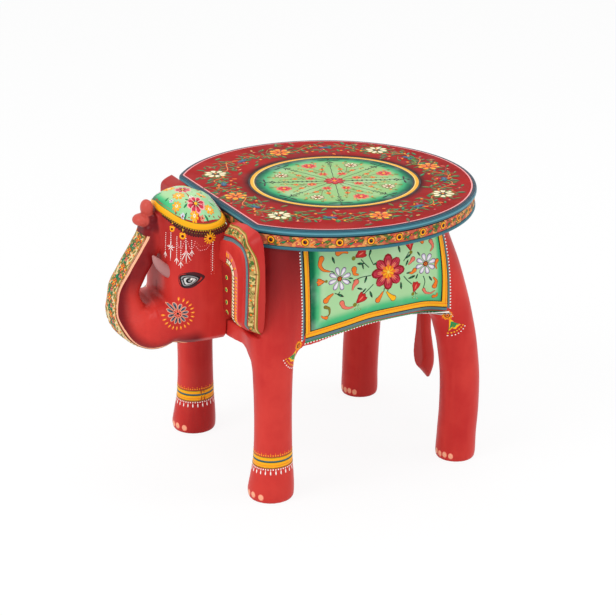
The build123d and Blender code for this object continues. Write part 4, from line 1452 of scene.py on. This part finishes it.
# Painted bands around a front leg: height, width, colour and layer.
ANKLET = (
    (45.6, 12.0, "gold", 0), (51.2, 0.9, "olive", 1), (46.6, 3.0, "dark_green", 1),
    (46.9, 1.4, "teal", 2), (42.4, 0.8, "orange", 1), (39.6, 0.8, "olive", 1),
)
ANKLET_TOP = 53.4
ANKLET_FOOT = 37.9
NAIL_HEIGHT = 7.0


def paint_anklet(p, radius):
    """Two gold bands with a green stripe, dots above and a white fringe below."""
    full = 2 * math.pi * radius
    ring = [full * (k / 72 + 0.5) for k in range(72)]

    def sway(u):
        return 0.8 * math.sin(u / radius + 0.6)

    for height, width, colour, layer in ANKLET:
        p.stroke([(u, height + sway(u)) for u in ring], width, colour, layer, closed=True)
    for k in range(48):
        u = full * k / 48
        p.dot(u, ANKLET_TOP + sway(u), 0.8, "yellow", count=7)
        p.dot(u, ANKLET_FOOT + sway(u), 0.85, "white", count=7)
        if k % 2 == 0:
            p.petal(u, ANKLET_FOOT - 0.9 + sway(u), -math.pi / 2, 5.0, 2.0, "white", 0, 0.3)
            p.dot(u, ANKLET_TOP + 2.0 + sway(u), 0.7, "orange", count=7)


def paint_nails(p, radius, angles):
    """Cream toenails at the front of a foot."""
    for k, degrees in enumerate(angles):
        u = radius * math.radians(degrees)
        v = NAIL_HEIGHT + (0.6 if k % 2 else 0.0)
        p.dot(u, v, 3.3, "salmon", 0, 1.25, count=14)
        p.dot(u, v + 0.2, 2.8, "peach", 1, 1.25, count=14)


# ------------------------------------------------------------------ painted ear


def beside(path, away):
    """A path moved to its left."""
    moved = []
    for i, (u, v) in enumerate(path):
        before, after = path[max(i - 1, 0)], path[min(i + 1, len(path) - 1)]
        du, dv = after[0] - before[0], after[1] - before[1]
        size = math.hypot(du, dv)
        moved.append((u - dv / size * away, v + du / size * away))
    return moved


def ribbon(p, first, second, colour):
    """A sheet of paint between two paths."""
    grid = []
    for (a, b), (c, d) in zip(first, second):
        grid.append([(a + (c - a) * k / 5, b + (d - b) * k / 5) for k in range(6)])
    p.sheet(grid, colour, sink=0.15)


def paint_ear(p):
    """Strips of flowers that follow the fold of the left ear."""
    flap = smooth_path(FLAP_EDGE, 60)[16:57]
    fold = smooth_path(FOLD_LINE, 160)[18:150]
    ribbon(p, beside(flap, 1.2), beside(flap, 7.6), "cream")
    ribbon(p, beside(flap, 7.4), beside(flap, 16.5), "pink_red")
    p.stroke(beside(flap, 0.4), 2.5, "yellow", 2)
    p.stroke(beside(flap, -0.9), 0.7, "ink", 2)
    p.stroke(beside(flap, 2.2), 0.7, "ink", 3)
    marks, dots = beside(flap, 8.2), beside(flap, 4.4)
    for i in range(1, len(marks) - 1, 2):
        along = bearing(marks[i - 1], marks[i + 1])
        p.petal(*marks[i], along + 1.5, 5.6, 2.6, "yellow", 2, 0.4)
        p.petal(*marks[i], along + 1.5, 4.2, 1.3, "orange", 3, 0.5)
        p.petal(*marks[i], along - 1.3, 3.8, 1.5, "dark_green", 2, 0.6)
        p.dot(*dots[i], 0.8, "deep_red" if i % 4 == 1 else "leaf", 2)
    p.stroke(fold, 4.2, "slate", 1)
    p.stroke(beside(fold, -0.9), 1.2, "grey_teal", 2)
    p.stroke(beside(fold, 1.9), 0.8, "ink", 2)
    ribbon(p, beside(fold, 3.0), beside(fold, 11.0), "ear_leaves")
    p.stroke(beside(fold, 11.2), 1.2, "tan", 2)
    p.stroke(beside(fold, 12.3), 0.7, "olive", 2)
    for i in range(2, len(fold) - 2, 3):
        at = beside(fold, 7.0 + rng.uniform(-1.2, 1.2))[i]
        colour = rng.choice(("leaf", "olive", "moss", "green", "tan"))
        turn = rng.uniform(0, 2 * math.pi)
        p.leaf(*at, turn, rng.uniform(3.4, 4.8), rng.uniform(2.2, 2.8), colour, "umber", 2)
        if i % 5 == 0:
            p.discs(*at, 4, (1.2, "orange"), (0.5, "yellow"))
    for u, v in ((55.2, 233.8), (54.0, 220.0), (54.3, 206.6), (54.6, 195.6)):
        p.dot(u, v, 3.0, "pale_yellow", 0, 0.9)
        p.dot(u, v, 2.4, "green", 1, 0.9)
        p.dot(u - 0.5, v + 0.5, 0.8, "leaf", 2)


# ------------------------------------------------------------------ painted head and trunk


def paint_cap_ground(p):
    """The cap's mint ground, from its top down to the gold ring and the back edge."""
    turns, steps = 96, 14
    grid = []
    for k in range(steps + 1):
        row = []
        for i in range(turns + 1):
            angle = 2 * math.pi * i / turns
            reach = float(cap_reach(math.cos(angle), math.sin(angle)))
            if math.sin(angle) > 0:
                reach = min(reach, (CAP_BACK - DOME_Y) / max(math.sin(angle), 1e-6))
            x, y = reach * math.cos(angle), DOME_Y + reach * math.sin(angle)
            low = math.atan2(float(cap_height(x, y)) - 1.0 - CAP_MIDDLE, reach)
            row.append((angle, math.pi / 2 + (low - math.pi / 2) * k / steps))
        grid.append(row)

    def darker(u, v):
        return float(rising(math.pi / 2 - v, 0.6, 1.0)) * (0.2 + 0.8 * max(math.cos(u + 2.0), 0))

    p.sheet(grid, "garden", darker, 0.12)


CAP_FLOWERS = [(12.4, -176.0, 6.6), (36.6, -152.6, 5.0), (38.2, -170.0, 4.6), (23.6, -183.2, 4.8)]
CAP_FLOWERS += [(15.0, -152.0, 5.4)]
CAP_LEAVES = [
    (20.5, -173, 0.8), (21, -156, 2.2), (33, -176, -1.0), (40, -160, 0.4), (9, -185, -1.2),
    (6.5, -152, 1.8), (27, -149, 0.9), (29, -178, 2.0),
]
CAP_STARS = [
    (15.5, -185.5, "lilac"), (32, -158, "pink"), (20, -165.5, "white"), (33.5, -181, "lilac"),
    (42, -163, "salmon"), (22, -145, "lilac"),
]
CAP_DOTS = [
    (24.5, -173.5), (36, -163), (18.5, -160), (42.2, -155.5), (28, -186), (8, -180.5), (31, -171),
    (10, -160),
]


def paint_cap(p):
    """The cap's flowers."""
    rose = (0.2, 0.86, 0.7, "pink"), (0.2, 0.72, 0.5, "rose_red"), (0.1, 0.4, 0.2, "deep_red")
    small = (0.2, 0.84, 0.6, "orange"), (0.2, 0.7, 0.42, "yellow")
    for side, roses in ((1, ((29.2, -164.4, 9.4), (0, -166.0, 9.0))), (-1, ((29.2, -164.4, 9.4),))):
        for u, v, size in roses:
            p.petals(side * u, v, 8, 0.0, 0, *sized(size, *rose))
            p.dot(side * u, v, 0.18 * size, "yellow", 3)
        for u, v, size in CAP_FLOWERS:
            p.petals(side * u, v, 8, 0.0, 0, *sized(size, *small))
            p.discs(side * u, v, 2, (0.3 * size, "cream"), (0.14 * size, "orange"))
        for u, v, turn in CAP_LEAVES:
            p.leaf(side * u, v, turn if side > 0 else math.pi - turn, 6.5, 3.0, "green")
        for u, v, colour in CAP_STARS:
            p.petals(side * u, v, 5, 0.0, 0, (0.3, 2.2, 1.9, colour))
            p.dot(side * u, v, 0.7, "deep_red", 1)
        for u, v in CAP_DOTS:
            p.dot(side * u, v, 0.8, "deep_red")
    back = CAP_BACK + 0.4
    p.line([(-45, back), (0, back), (45, back)], 1.6, "green", 1)
    p.dots([(-44, back), (0, back), (44, back)], 0.9, 3.0, "white", 2)


# Lines along the gold ring: rise, width, colour and layer.
RING_LINES = ((-0.4, 0.8, "ink", 6), (-3.2, 0.9, "olive", 3), (3.0, 0.8, "olive", 3))


def paint_crown(p):
    """The gold ring below the cap, its dark beads and the fringe below it."""
    front, spread = -math.pi / 2, 1.95
    count = 150
    ring = []
    for k in range(count + 1):
        angle = front - spread + 2 * spread * k / count
        ring.append((CAP_RADIUS * angle, float(cap_edge(angle))))
    p.stroke(ring, 7.0, "gold", 1, lift=0.6)
    for rise, width, colour, layer in RING_LINES:
        p.stroke([(u, v + rise) for u, v in ring], width, colour, layer)
    for u, v in ring[1:-1]:
        p.dot(u, v + 1.3, 0.5, "brown", 5, count=5)
    for k in range(2, count - 1):
        u, v = ring[k]
        turned = abs(u / CAP_RADIUS - front)
        if turned < 0.3:
            continue
        drop = 2.4 + 4.6 * float(rising(np.array(turned), 0.2, 1.1))
        p.stroke([(u, v - 3.2 - share * drop) for share in (0, 0.5, 1)], 1.15, "ink", lift=0.14)
        if k % 2 == 0:
            p.dot(u, v - 3.4 - drop, 0.8, "ink", 0, count=6)
            p.dot(u, v - 4.0, 0.55, "yellow", 2, count=6)
        else:
            p.dot(u, v - 2.6 - 0.6 * drop, 0.5, "olive", 2, count=6)


def arc_length(x, y):
    """How far around the head a point lies."""
    return CAP_RADIUS * math.atan2(y - CAP_Y, x)


# Pendants: x, y, height and size. Strings: x, y, and the heights of their ends.
PENDANTS = ((27.4, -190.4, 285.2, 3.3), (37.4, -183.2, 279.4, 3.9), (47.0, -157.1, 276.0, 4.2))
STRINGS = ((22, -197.0, 280, 258), (33, -187.6, 278, 254), (36, -184.6, 274, 250), (43, -176, 275, 262))
# White strokes that spread from a point: turn and length. They are painted sprays and also painted
# highlight for the gloss on the brow.
LARGE_STROKES = ((1.57, 8), (-1.57, 13), (0.2, 5), (2.9, 5), (0.9, 3.5), (2.3, 3.5), (-0.8, 4), (-2.4, 4))
MIDDLE_STROKES = ((-1.57, 13), (-1.15, 11), (-2.0, 11), (-0.75, 6), (-2.4, 6), (1.57, 9))
SMALL_STROKES = ((-1.57, 7.0), (-1.1, 5.0), (-2.05, 5.0))
LOOP = ((1.5, 274), (5, 266), (7.5, 268.5), (9, 274))
# Strings of dots beside the ear: how far to the side and at what height, radius, gap and colour.
SIDE_STRINGS = (
    (((0, 271), (0, 240)), 0.75, 2.5, "white"),
    (((-1.8, 262), (-1.8, 236)), 0.5, 2.6, "pink"),
    (((1.8, 262), (1.8, 236)), 0.5, 2.6, "salmon"),
    (((-3, 269), (-8, 264), (-14, 263.5), (-18, 268)), 0.6, 2.1, "pink"),
    (((-3, 272), (-8, 268.5), (-13, 268), (-17, 272)), 0.5, 2.1, "salmon"),
)


def paint_strokes(p, u, v, strokes, width):
    """White strokes that spread from a point."""
    for turn, length in strokes:
        p.petal(u, v, turn, length, width, "white", 1, 0.7)


def paint_strings(p):
    """Pendants below the fringe, with hanging strings of dots, on the head's left side."""
    for x, y, z, size in PENDANTS:
        u = arc_length(x, y)
        if size > 4:
            p.petals(u, z, 12, 0.0, 0, (2.6, 4.2, 1.7, "yellow"))
        p.petals(u, z + size, 3, math.pi / 2 - 2.1, 0, (0.5, 3.4, 1.6, "yellow"))
        p.dot(u, z, size * 0.95, "orange", 1, count=12)
        p.dot(u, z, size * 0.8, "yellow", 2, count=12)
        p.discs(u, z, 3, (size * 0.5, "deep_red"), (size * 0.28, "ink"))
    u = arc_length(27.4, -192.5)
    p.line([(u, 281), (u + 0.6, 272), (u + 0.4, 252)], 0.5, "pink")
    p.dots([(u, 281), (u + 0.5, 272)], 0.6, 2.2, "white")
    paint_strokes(p, u + 0.5, 266, LARGE_STROKES, 1.1)
    u = arc_length(40.0, -181.0)
    paint_strokes(p, u, 263, MIDDLE_STROKES, 1.0)
    p.dot(u, 263, 1.4, "pink", 2)
    p.dots([(u, 277), (u, 264)], 0.6, 2.1, "white")
    for half in (-1, 1):
        p.dots([(u + half * a, z) for a, z in LOOP], 0.6, 2.0, "pink")
    p.dots([(u - 5, 254), (u, 250.5), (u + 5, 254)], 0.6, 2.2, "salmon")
    for x, y, high, low in STRINGS:
        u = arc_length(x, y)
        p.dots([(u, high), (u, low)], 0.55, 2.0, "white")
        paint_strokes(p, u, low + 2.0, SMALL_STROKES, 0.9)
    u = arc_length(46.0, -153.5)
    for path, radius, gap, colour in SIDE_STRINGS:
        p.dots([(u + a, z) for a, z in path], radius, gap, colour)


EYE_SOCKET = [(-11.5, 7.6), (-4, 10.2), (5, 10.0), (13, 6.6), (17.5, 2.4), (11, -3.6), (3, -8.0)]
EYE_SOCKET += [(-5, -8.4), (-10, -5.0), (-12, 1)]
ALMOND = [(-9.4, 5.4), (-3.5, 7.2), (3.0, 6.2), (10.2, 2.0), (5.0, -3.0), (-1.5, -5.8), (-6.4, -5.6)]
ALMOND += [(-8.6, -1.0)]


def paint_eye(p):
    """An almond eye in grey, white and black, in a dark painted socket."""
    u, v = arc_length(42.2, -178.4), 231.6
    p.blob([(u + a, v + b) for a, b in EYE_SOCKET], "soot", 0, 0.05)
    shapes = ((1.0, "ink"), (0.86, "ash"), (0.72, "ink"), (0.6, "white_grey"))
    for layer, (grow, colour) in enumerate(shapes, 2):
        p.blob([(u + a * grow, v + b * grow) for a, b in ALMOND], colour, layer, 0.05)
    p.dot(u - 0.6, v + 0.6, 3.2, "ink", 7, 0.9)
    p.dot(u - 0.2, v + 0.4, 1.7, "ash", 8, 0.9)
    p.dot(u + 1.2, v + 1.8, 1.1, "white", 9)
    p.line([(u - 7.5, v + 1.8), (u - 3.6, v + 4.4), (u + 1.5, v + 3.8)], 0.7, "ink", 7)


CHEEK_REACH = 32


def paint_cheek(p):
    """The flower on the left cheek, without petals that would miss the cheek."""
    u, v = -192.4, 198.0
    for k in range(22):
        turn = 2 * math.pi * k / 22
        places = p.turned(u, v, turn, [(12.6, 0), (16.0, 2.0), (16.0, -2.0), (18.5, 0)])
        if min(p.canvas(*place)[0].x for place in places) < CHEEK_REACH:
            continue
        p.petals(u, v, 1, turn, 0, (12.6, 5.0, 2.6, "orange"), (13.6, 2.4, 0.9, "pale_yellow"), point=0.2)
    for k in range(12):
        turn = 2 * math.pi * k / 12 + 0.13
        p.petals(u, v, 1, turn, 0, (2.8, 8.4, 4.4, "peach"), (3.2, 7.6, 3.5, "steel"), point=0.2)
        p.petal(u, v, turn, 5.4, 1.3, "ink", 2, 0.3, 3.6)
    p.petals(u, v, 6, 0.0, 3, (0.4, 2.8, 1.7, "salmon"))
    p.dot(u, v, 1.2, "ink", 4)


class TrunkBand:
    """Places along the trunk's outer face: u across it and v along it from the tip."""

    def __init__(self, tree):
        self.tree = tree
        self.y, self.z, self.out_y, self.out_z = trunk_outer_line()
        steps = np.hypot(np.diff(self.y), np.diff(self.z))
        self.run = np.concatenate([[0], np.cumsum(steps)])

    def __call__(self, u, v):
        y, z, out_y, out_z = (
            float(np.interp(v, self.run, a)) for a in (self.y, self.z, self.out_y, self.out_z)
        )
        outwards = Vector((0, out_y, out_z)).normalized()
        return cast(self.tree, Vector((u, y, z)) + outwards * 12, -outwards)

    def half_width(self, v):
        """Half the band's width: narrow up the trunk, wide below the jaw."""
        y = float(np.interp(v, self.run, self.y))
        z = float(np.interp(v, self.run, self.z))
        low = float(rising(np.array(210.0 - z), 0, 45))
        back = float(rising(np.array(y), -240, -205)) if z < 200 else 0.0
        return 14.2 + 10.5 * low + 9.5 * back


VINE_SWING = 3.4
VINE_WAVE = 7.5
FLOWER_GAP = 8.6


def paint_trunk(p, band):
    """A cream band with a vine of flowers down the trunk's outer face."""
    top, end = 12.0, band.run[-1] - 6.0
    rows = int((end - top) / 2.2)
    stations = [top + (end - top) * k / rows for k in range(rows + 1)]
    grid = [[(band.half_width(v) * k / 7, v) for k in range(-7, 8)] for v in stations]
    p.sheet(grid, "cream_ground", sink=0.1)
    for side in (-1, 1):
        for inwards, width, colour in ((0.0, 1.9, "peach"), (2.2, 0.7, "deep_red"), (3.2, 0.6, "olive")):
            p.stroke([(side * (band.half_width(v) - inwards), v) for v in stations], width, colour, 2)
    p.stroke([(VINE_SWING * math.sin(v / VINE_WAVE), v) for v in stations], 0.9, "dark_green", 2)
    at, k = top + 5.0, 0
    while at < end - 6:
        side = 1 if k % 2 else -1
        u = VINE_SWING * math.sin(at / VINE_WAVE)
        leafy = float(rising(at, end - 60, end - 30)) < 0.5
        for turn, size in ((0.6, 9.5), (1.1, 8.0), (2.0, 8.5), (2.6, 7.0)):
            for wing in (-1, 1):
                angle = math.pi / 2 + wing * turn
                if leafy:
                    colour = ("leaf", "green", "olive")[int(2 * size) % 3]
                    p.leaf(u, at, angle, size, 4.2, colour, "dark_green", 2)
                elif turn > 1.5:
                    p.leaf(u, at, angle, size, 3.2, "tan", "umber", 2)
        for wing in (-1, 1):
            across, along = wing * band.half_width(at) * 0.66, at + 3.5 * wing
            colour = "leaf" if leafy else "tan"
            p.leaf(across, along, math.pi / 2 + wing * 0.5, 6.5, 3.2, colour, "umber", 2)
            p.dot(across, along - 2.4, 1.2, "orange", 3)
        if k % 2 == 0:
            p.petals(u, at + 1, 6, 0.3, 4, (0.8, 4.6, 3.6, "deep_red"), (1.0, 3.9, 2.7, "orange"))
            p.dot(u, at + 1, 1.2, "yellow", 6)
        else:
            p.petals(u + side * 3, at, 5, 0.0, 4, (0.3, 2.6, 2.2, "salmon"))
            p.dot(u + side * 3, at, 0.8, "deep_red", 5)
        p.dot(u - side * 7.5, at + 3, 1.1, "red", 4)
        p.dot(u + side * 8.0, at - 3, 0.9, "yellow", 4)
        at += FLOWER_GAP
        k += 1


# ------------------------------------------------------------------ stage

AZIMUTH, ELEVATION, DISTANCE = 63.01, 20.99, 2250.0
TARGET = (0.0, -21.24, 160.26)
FOCAL_PIXELS, PHOTO_WIDTH = 2073.5, 616
WHITE_SHARE = 0.9
SKY_LEVEL = 0.6


def build_camera():
    """The camera that sees the stool as the photograph does."""
    azimuth, elevation = math.radians(AZIMUTH), math.radians(ELEVATION)
    level = math.cos(elevation)
    towards = Vector((level * math.sin(azimuth), -level * math.cos(azimuth), math.sin(elevation)))
    data = bpy.data.cameras.new("camera")
    data.sensor_width = 36.0
    data.lens = FOCAL_PIXELS * data.sensor_width / PHOTO_WIDTH
    data.clip_end = 20.0
    camera = add_object("camera", data)
    camera.location = Vector(to_frame([Vector(TARGET) + towards * DISTANCE])[0])
    camera.rotation_euler = (-towards).to_track_quat("-Z", "Y").to_euler()
    bpy.context.scene.camera = camera


def area_light(name, place, aim, size, power):
    """A round soft light that shines from a place towards another."""
    data = bpy.data.lights.new(name, "AREA")
    data.shape, data.size, data.energy = "DISK", size, power
    light = add_object(name, data)
    light.location = place
    light.rotation_euler = (Vector(aim) - Vector(place)).to_track_quat("-Z", "Y").to_euler()


def seen_directly(nodes, links):
    """A value that is 1 for what the camera sees, also in or through the object."""
    path = nodes.new("ShaderNodeLightPath")
    value = path.outputs["Is Camera Ray"]
    for name in ("Is Glossy Ray", "Is Transmission Ray"):
        both = nodes.new("ShaderNodeMath")
        both.operation = "MAXIMUM"
        links.new(value, both.inputs[0])
        links.new(path.outputs[name], both.inputs[1])
        value = both.outputs[0]
    return value


def build_stage():
    """A white floor that keeps a soft shadow, an even sky and four large soft lights."""
    reach = 12.0
    corners = [(-reach, -reach), (reach, -reach), (reach, reach), (-reach, reach)]
    mesh = bpy.data.meshes.new("floor")
    mesh.from_pydata([(x, y, 0) for x, y in corners], [], [(0, 1, 2, 3)])
    floor = add_object("floor", mesh)
    f = Finish("floor_paper")
    f.set(Base_Color=rgb(250, 250, 250), Roughness=0.9)
    white = f.add("Emission", {"Color": (1, 1, 1, 1), "Strength": 1.0})
    share = f.add("Math", {0: seen_directly(f.nodes, f.links), 1: WHITE_SHARE}, operation="MULTIPLY")
    both = f.add("MixShader", {0: share.outputs[0]})
    f.links.new(f.shader.outputs[0], both.inputs[1])
    f.links.new(white.outputs[0], both.inputs[2])
    f.links.new(both.outputs[0], f.nodes["Material Output"].inputs["Surface"])
    mesh.materials.append(f.material)
    world = bpy.data.worlds.new("studio")
    world.use_nodes = True
    nodes, links = world.node_tree.nodes, world.node_tree.links
    sky = nodes["Background"]
    sky.inputs["Color"].default_value = (1, 1, 1, 1)
    level = nodes.new("ShaderNodeMapRange")
    level.inputs["To Min"].default_value = SKY_LEVEL
    level.inputs["To Max"].default_value = 1.0
    links.new(seen_directly(nodes, links), level.inputs["Value"])
    links.new(level.outputs["Result"], sky.inputs["Strength"])
    bpy.context.scene.world = world
    area_light("key", (0.3, -2.0, 2.0), (0, 0, 0.2), 1.6, 30)
    area_light("top", (-0.2, 0.2, 2.4), (0, 0, 0.2), 1.8, 14)
    area_light("side", (2.4, -0.2, 1.0), (0, 0, 0.15), 1.4, 9)
    area_light("rear", (1.5, 2.2, 1.3), (0, 0, 0.15), 1.4, 13)


scene = bpy.context.scene
scene.view_settings.view_transform = "Standard"
build_camera()
build_stage()

red = lacquered("red_lacquer", rgb(206, 60, 52), rgb(186, 40, 38), rgb(104, 12, 20), rgb(230, 98, 84))
# The white tusks are painted grey-pink: painted shade with a painted red reflection from the surfaces
# around them.
tusk_paint_in_painted_shade = paint("tusk_paint_in_painted_shade", rgb(176, 124, 122))
meadow = garden("mint_ground", rgb(168, 210, 156), rgb(74, 184, 122), rgb(0, 102, 66), 0.08)
marks = ((rgb(190, 136, 84), 45), (rgb(92, 108, 54), 90), (rgb(226, 150, 84), 140))
seat_reds = (rgb(170, 24, 22), rgb(142, 14, 16), rgb(36, 14, 18), rgb(220, 84, 70))
seat_paints = {
    "under": tint("deep_red"),
    "bead": tint("teal"),
    "shine": tint("shine"),
    "navy": tint("navy"),
    "line": tint("ink"),
    "band": mottled("band_paint", rgb(196, 88, 70), marks),
    "pale": tint("pink"),
    "ground": lacquered("seat_lacquer", *seat_reds, 0.02, 0.0),
    "ink": tint("ink"),
    "gold": tint("gold"),
    "pale_gold": tint("pale_gold"),
    "garden": garden("medallion_mint", rgb(150, 192, 126), rgb(60, 168, 112), rgb(0, 78, 62), 0.03),
}
body_tree = build_body(red)
head_tree, face_tree = build_head(red)
left_ear_tree, _ = build_ears(red)
build_tusks(tusk_paint_in_painted_shade)
build_tail(red)
build_seat(list(seat_paints), list(seat_paints.values()))

seat_flowers = Painting("seat_flowers", on_seat)
paint_seat_border(seat_flowers)
paint_medallion(seat_flowers)
seat_flowers.finish()
band_radius = SEAT_RADIUS - BAND_INSET


def on_rim(u, v):
    """A canvas on the rim's band: u is the arc's length and v is z."""
    out = Vector((math.cos(u / band_radius), math.sin(u / band_radius), 0))
    return out * band_radius + Vector((0, 0, v)), out


rim = Painting("rim_circles", on_rim)
paint_rim(rim, band_radius)
rim.finish()

panel = Painting("side_panel", from_side(body_tree))
paint_panel(panel)
paint_tassel(panel, -88.6, 168.3, -0.75)
paint_tassel(panel, 84.3, 173.8, 0.5)
panel.finish({"garden": meadow}, both_sides=True)

FRONT_FOOT = (99.1, -114.0, 23.0)
REAR_FEET = ((100.8, 108.5, 22.0), (102.0, 98.5, 22.0))
legs = Painting("anklets", from_around(body_tree, *FRONT_FOOT))
paint_anklet(legs, FRONT_FOOT[2])
legs.finish(both_sides=True)
for word, foot, mirrored, angles in (
    ("front_left", FRONT_FOOT, 1, (-54, -77, -96, -118)),
    ("front_right", FRONT_FOOT, -1, (-53, -75, -93, -115)),
    ("rear_left", REAR_FEET[0], 1, (-44, -63, -81, -99)),
    ("rear_right", REAR_FEET[1], -1, (-44, -62, -79, -97)),
):
    nails = Painting("toenails_" + word, from_around(body_tree, mirrored * foot[0], *foot[1:]))
    paint_nails(nails, foot[2], angles)
    nails.finish()

ear = Painting("ear_flowers", from_front(left_ear_tree))
paint_ear(ear)
leafy = ((rgb(104, 104, 40), 110), (rgb(70, 104, 44), 150), (rgb(214, 190, 120), 190))
ear.finish({"ear_leaves": mottled("ear_leaves", rgb(176, 148, 84), leafy)}, both_sides=True)

cap_ground = Painting("cap_ground", from_inside(face_tree, 0, DOME_Y, CAP_MIDDLE))
paint_cap_ground(cap_ground)
cap_ground.finish({"garden": meadow})
cap = Painting("cap_flowers", from_above(face_tree))
paint_cap(cap)
cap.finish()
crown = Painting("crown_ring", from_around(face_tree, 0, CAP_Y, CAP_RADIUS))
paint_crown(crown)
crown.finish()
face = Painting("face", from_around(head_tree, 0, CAP_Y, CAP_RADIUS))
paint_strings(face)
paint_eye(face)
face.finish(both_sides=True)
cheek = Painting("cheek_flower", from_side(head_tree))
paint_cheek(cheek)
cheek.finish(both_sides=True)
band = TrunkBand(head_tree)
trunk = Painting("trunk_flowers", band)
paint_trunk(trunk, band)
creamy = ((rgb(196, 150, 84), 90), (rgb(150, 132, 60), 140))
trunk.finish({"cream_ground": mottled("cream_ground", rgb(226, 200, 146), creamy, 0.54)})

bare = bare_wood()
for name in ("seat_dowels", "leg_dowels", "ear_dowels", "head_dowels", "trunk_dowels", "tail_dowel"):
    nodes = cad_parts[name]
    for node in nodes if isinstance(nodes, list) else [nodes]:
        node.data.materials.clear()
        node.data.materials.append(bare)
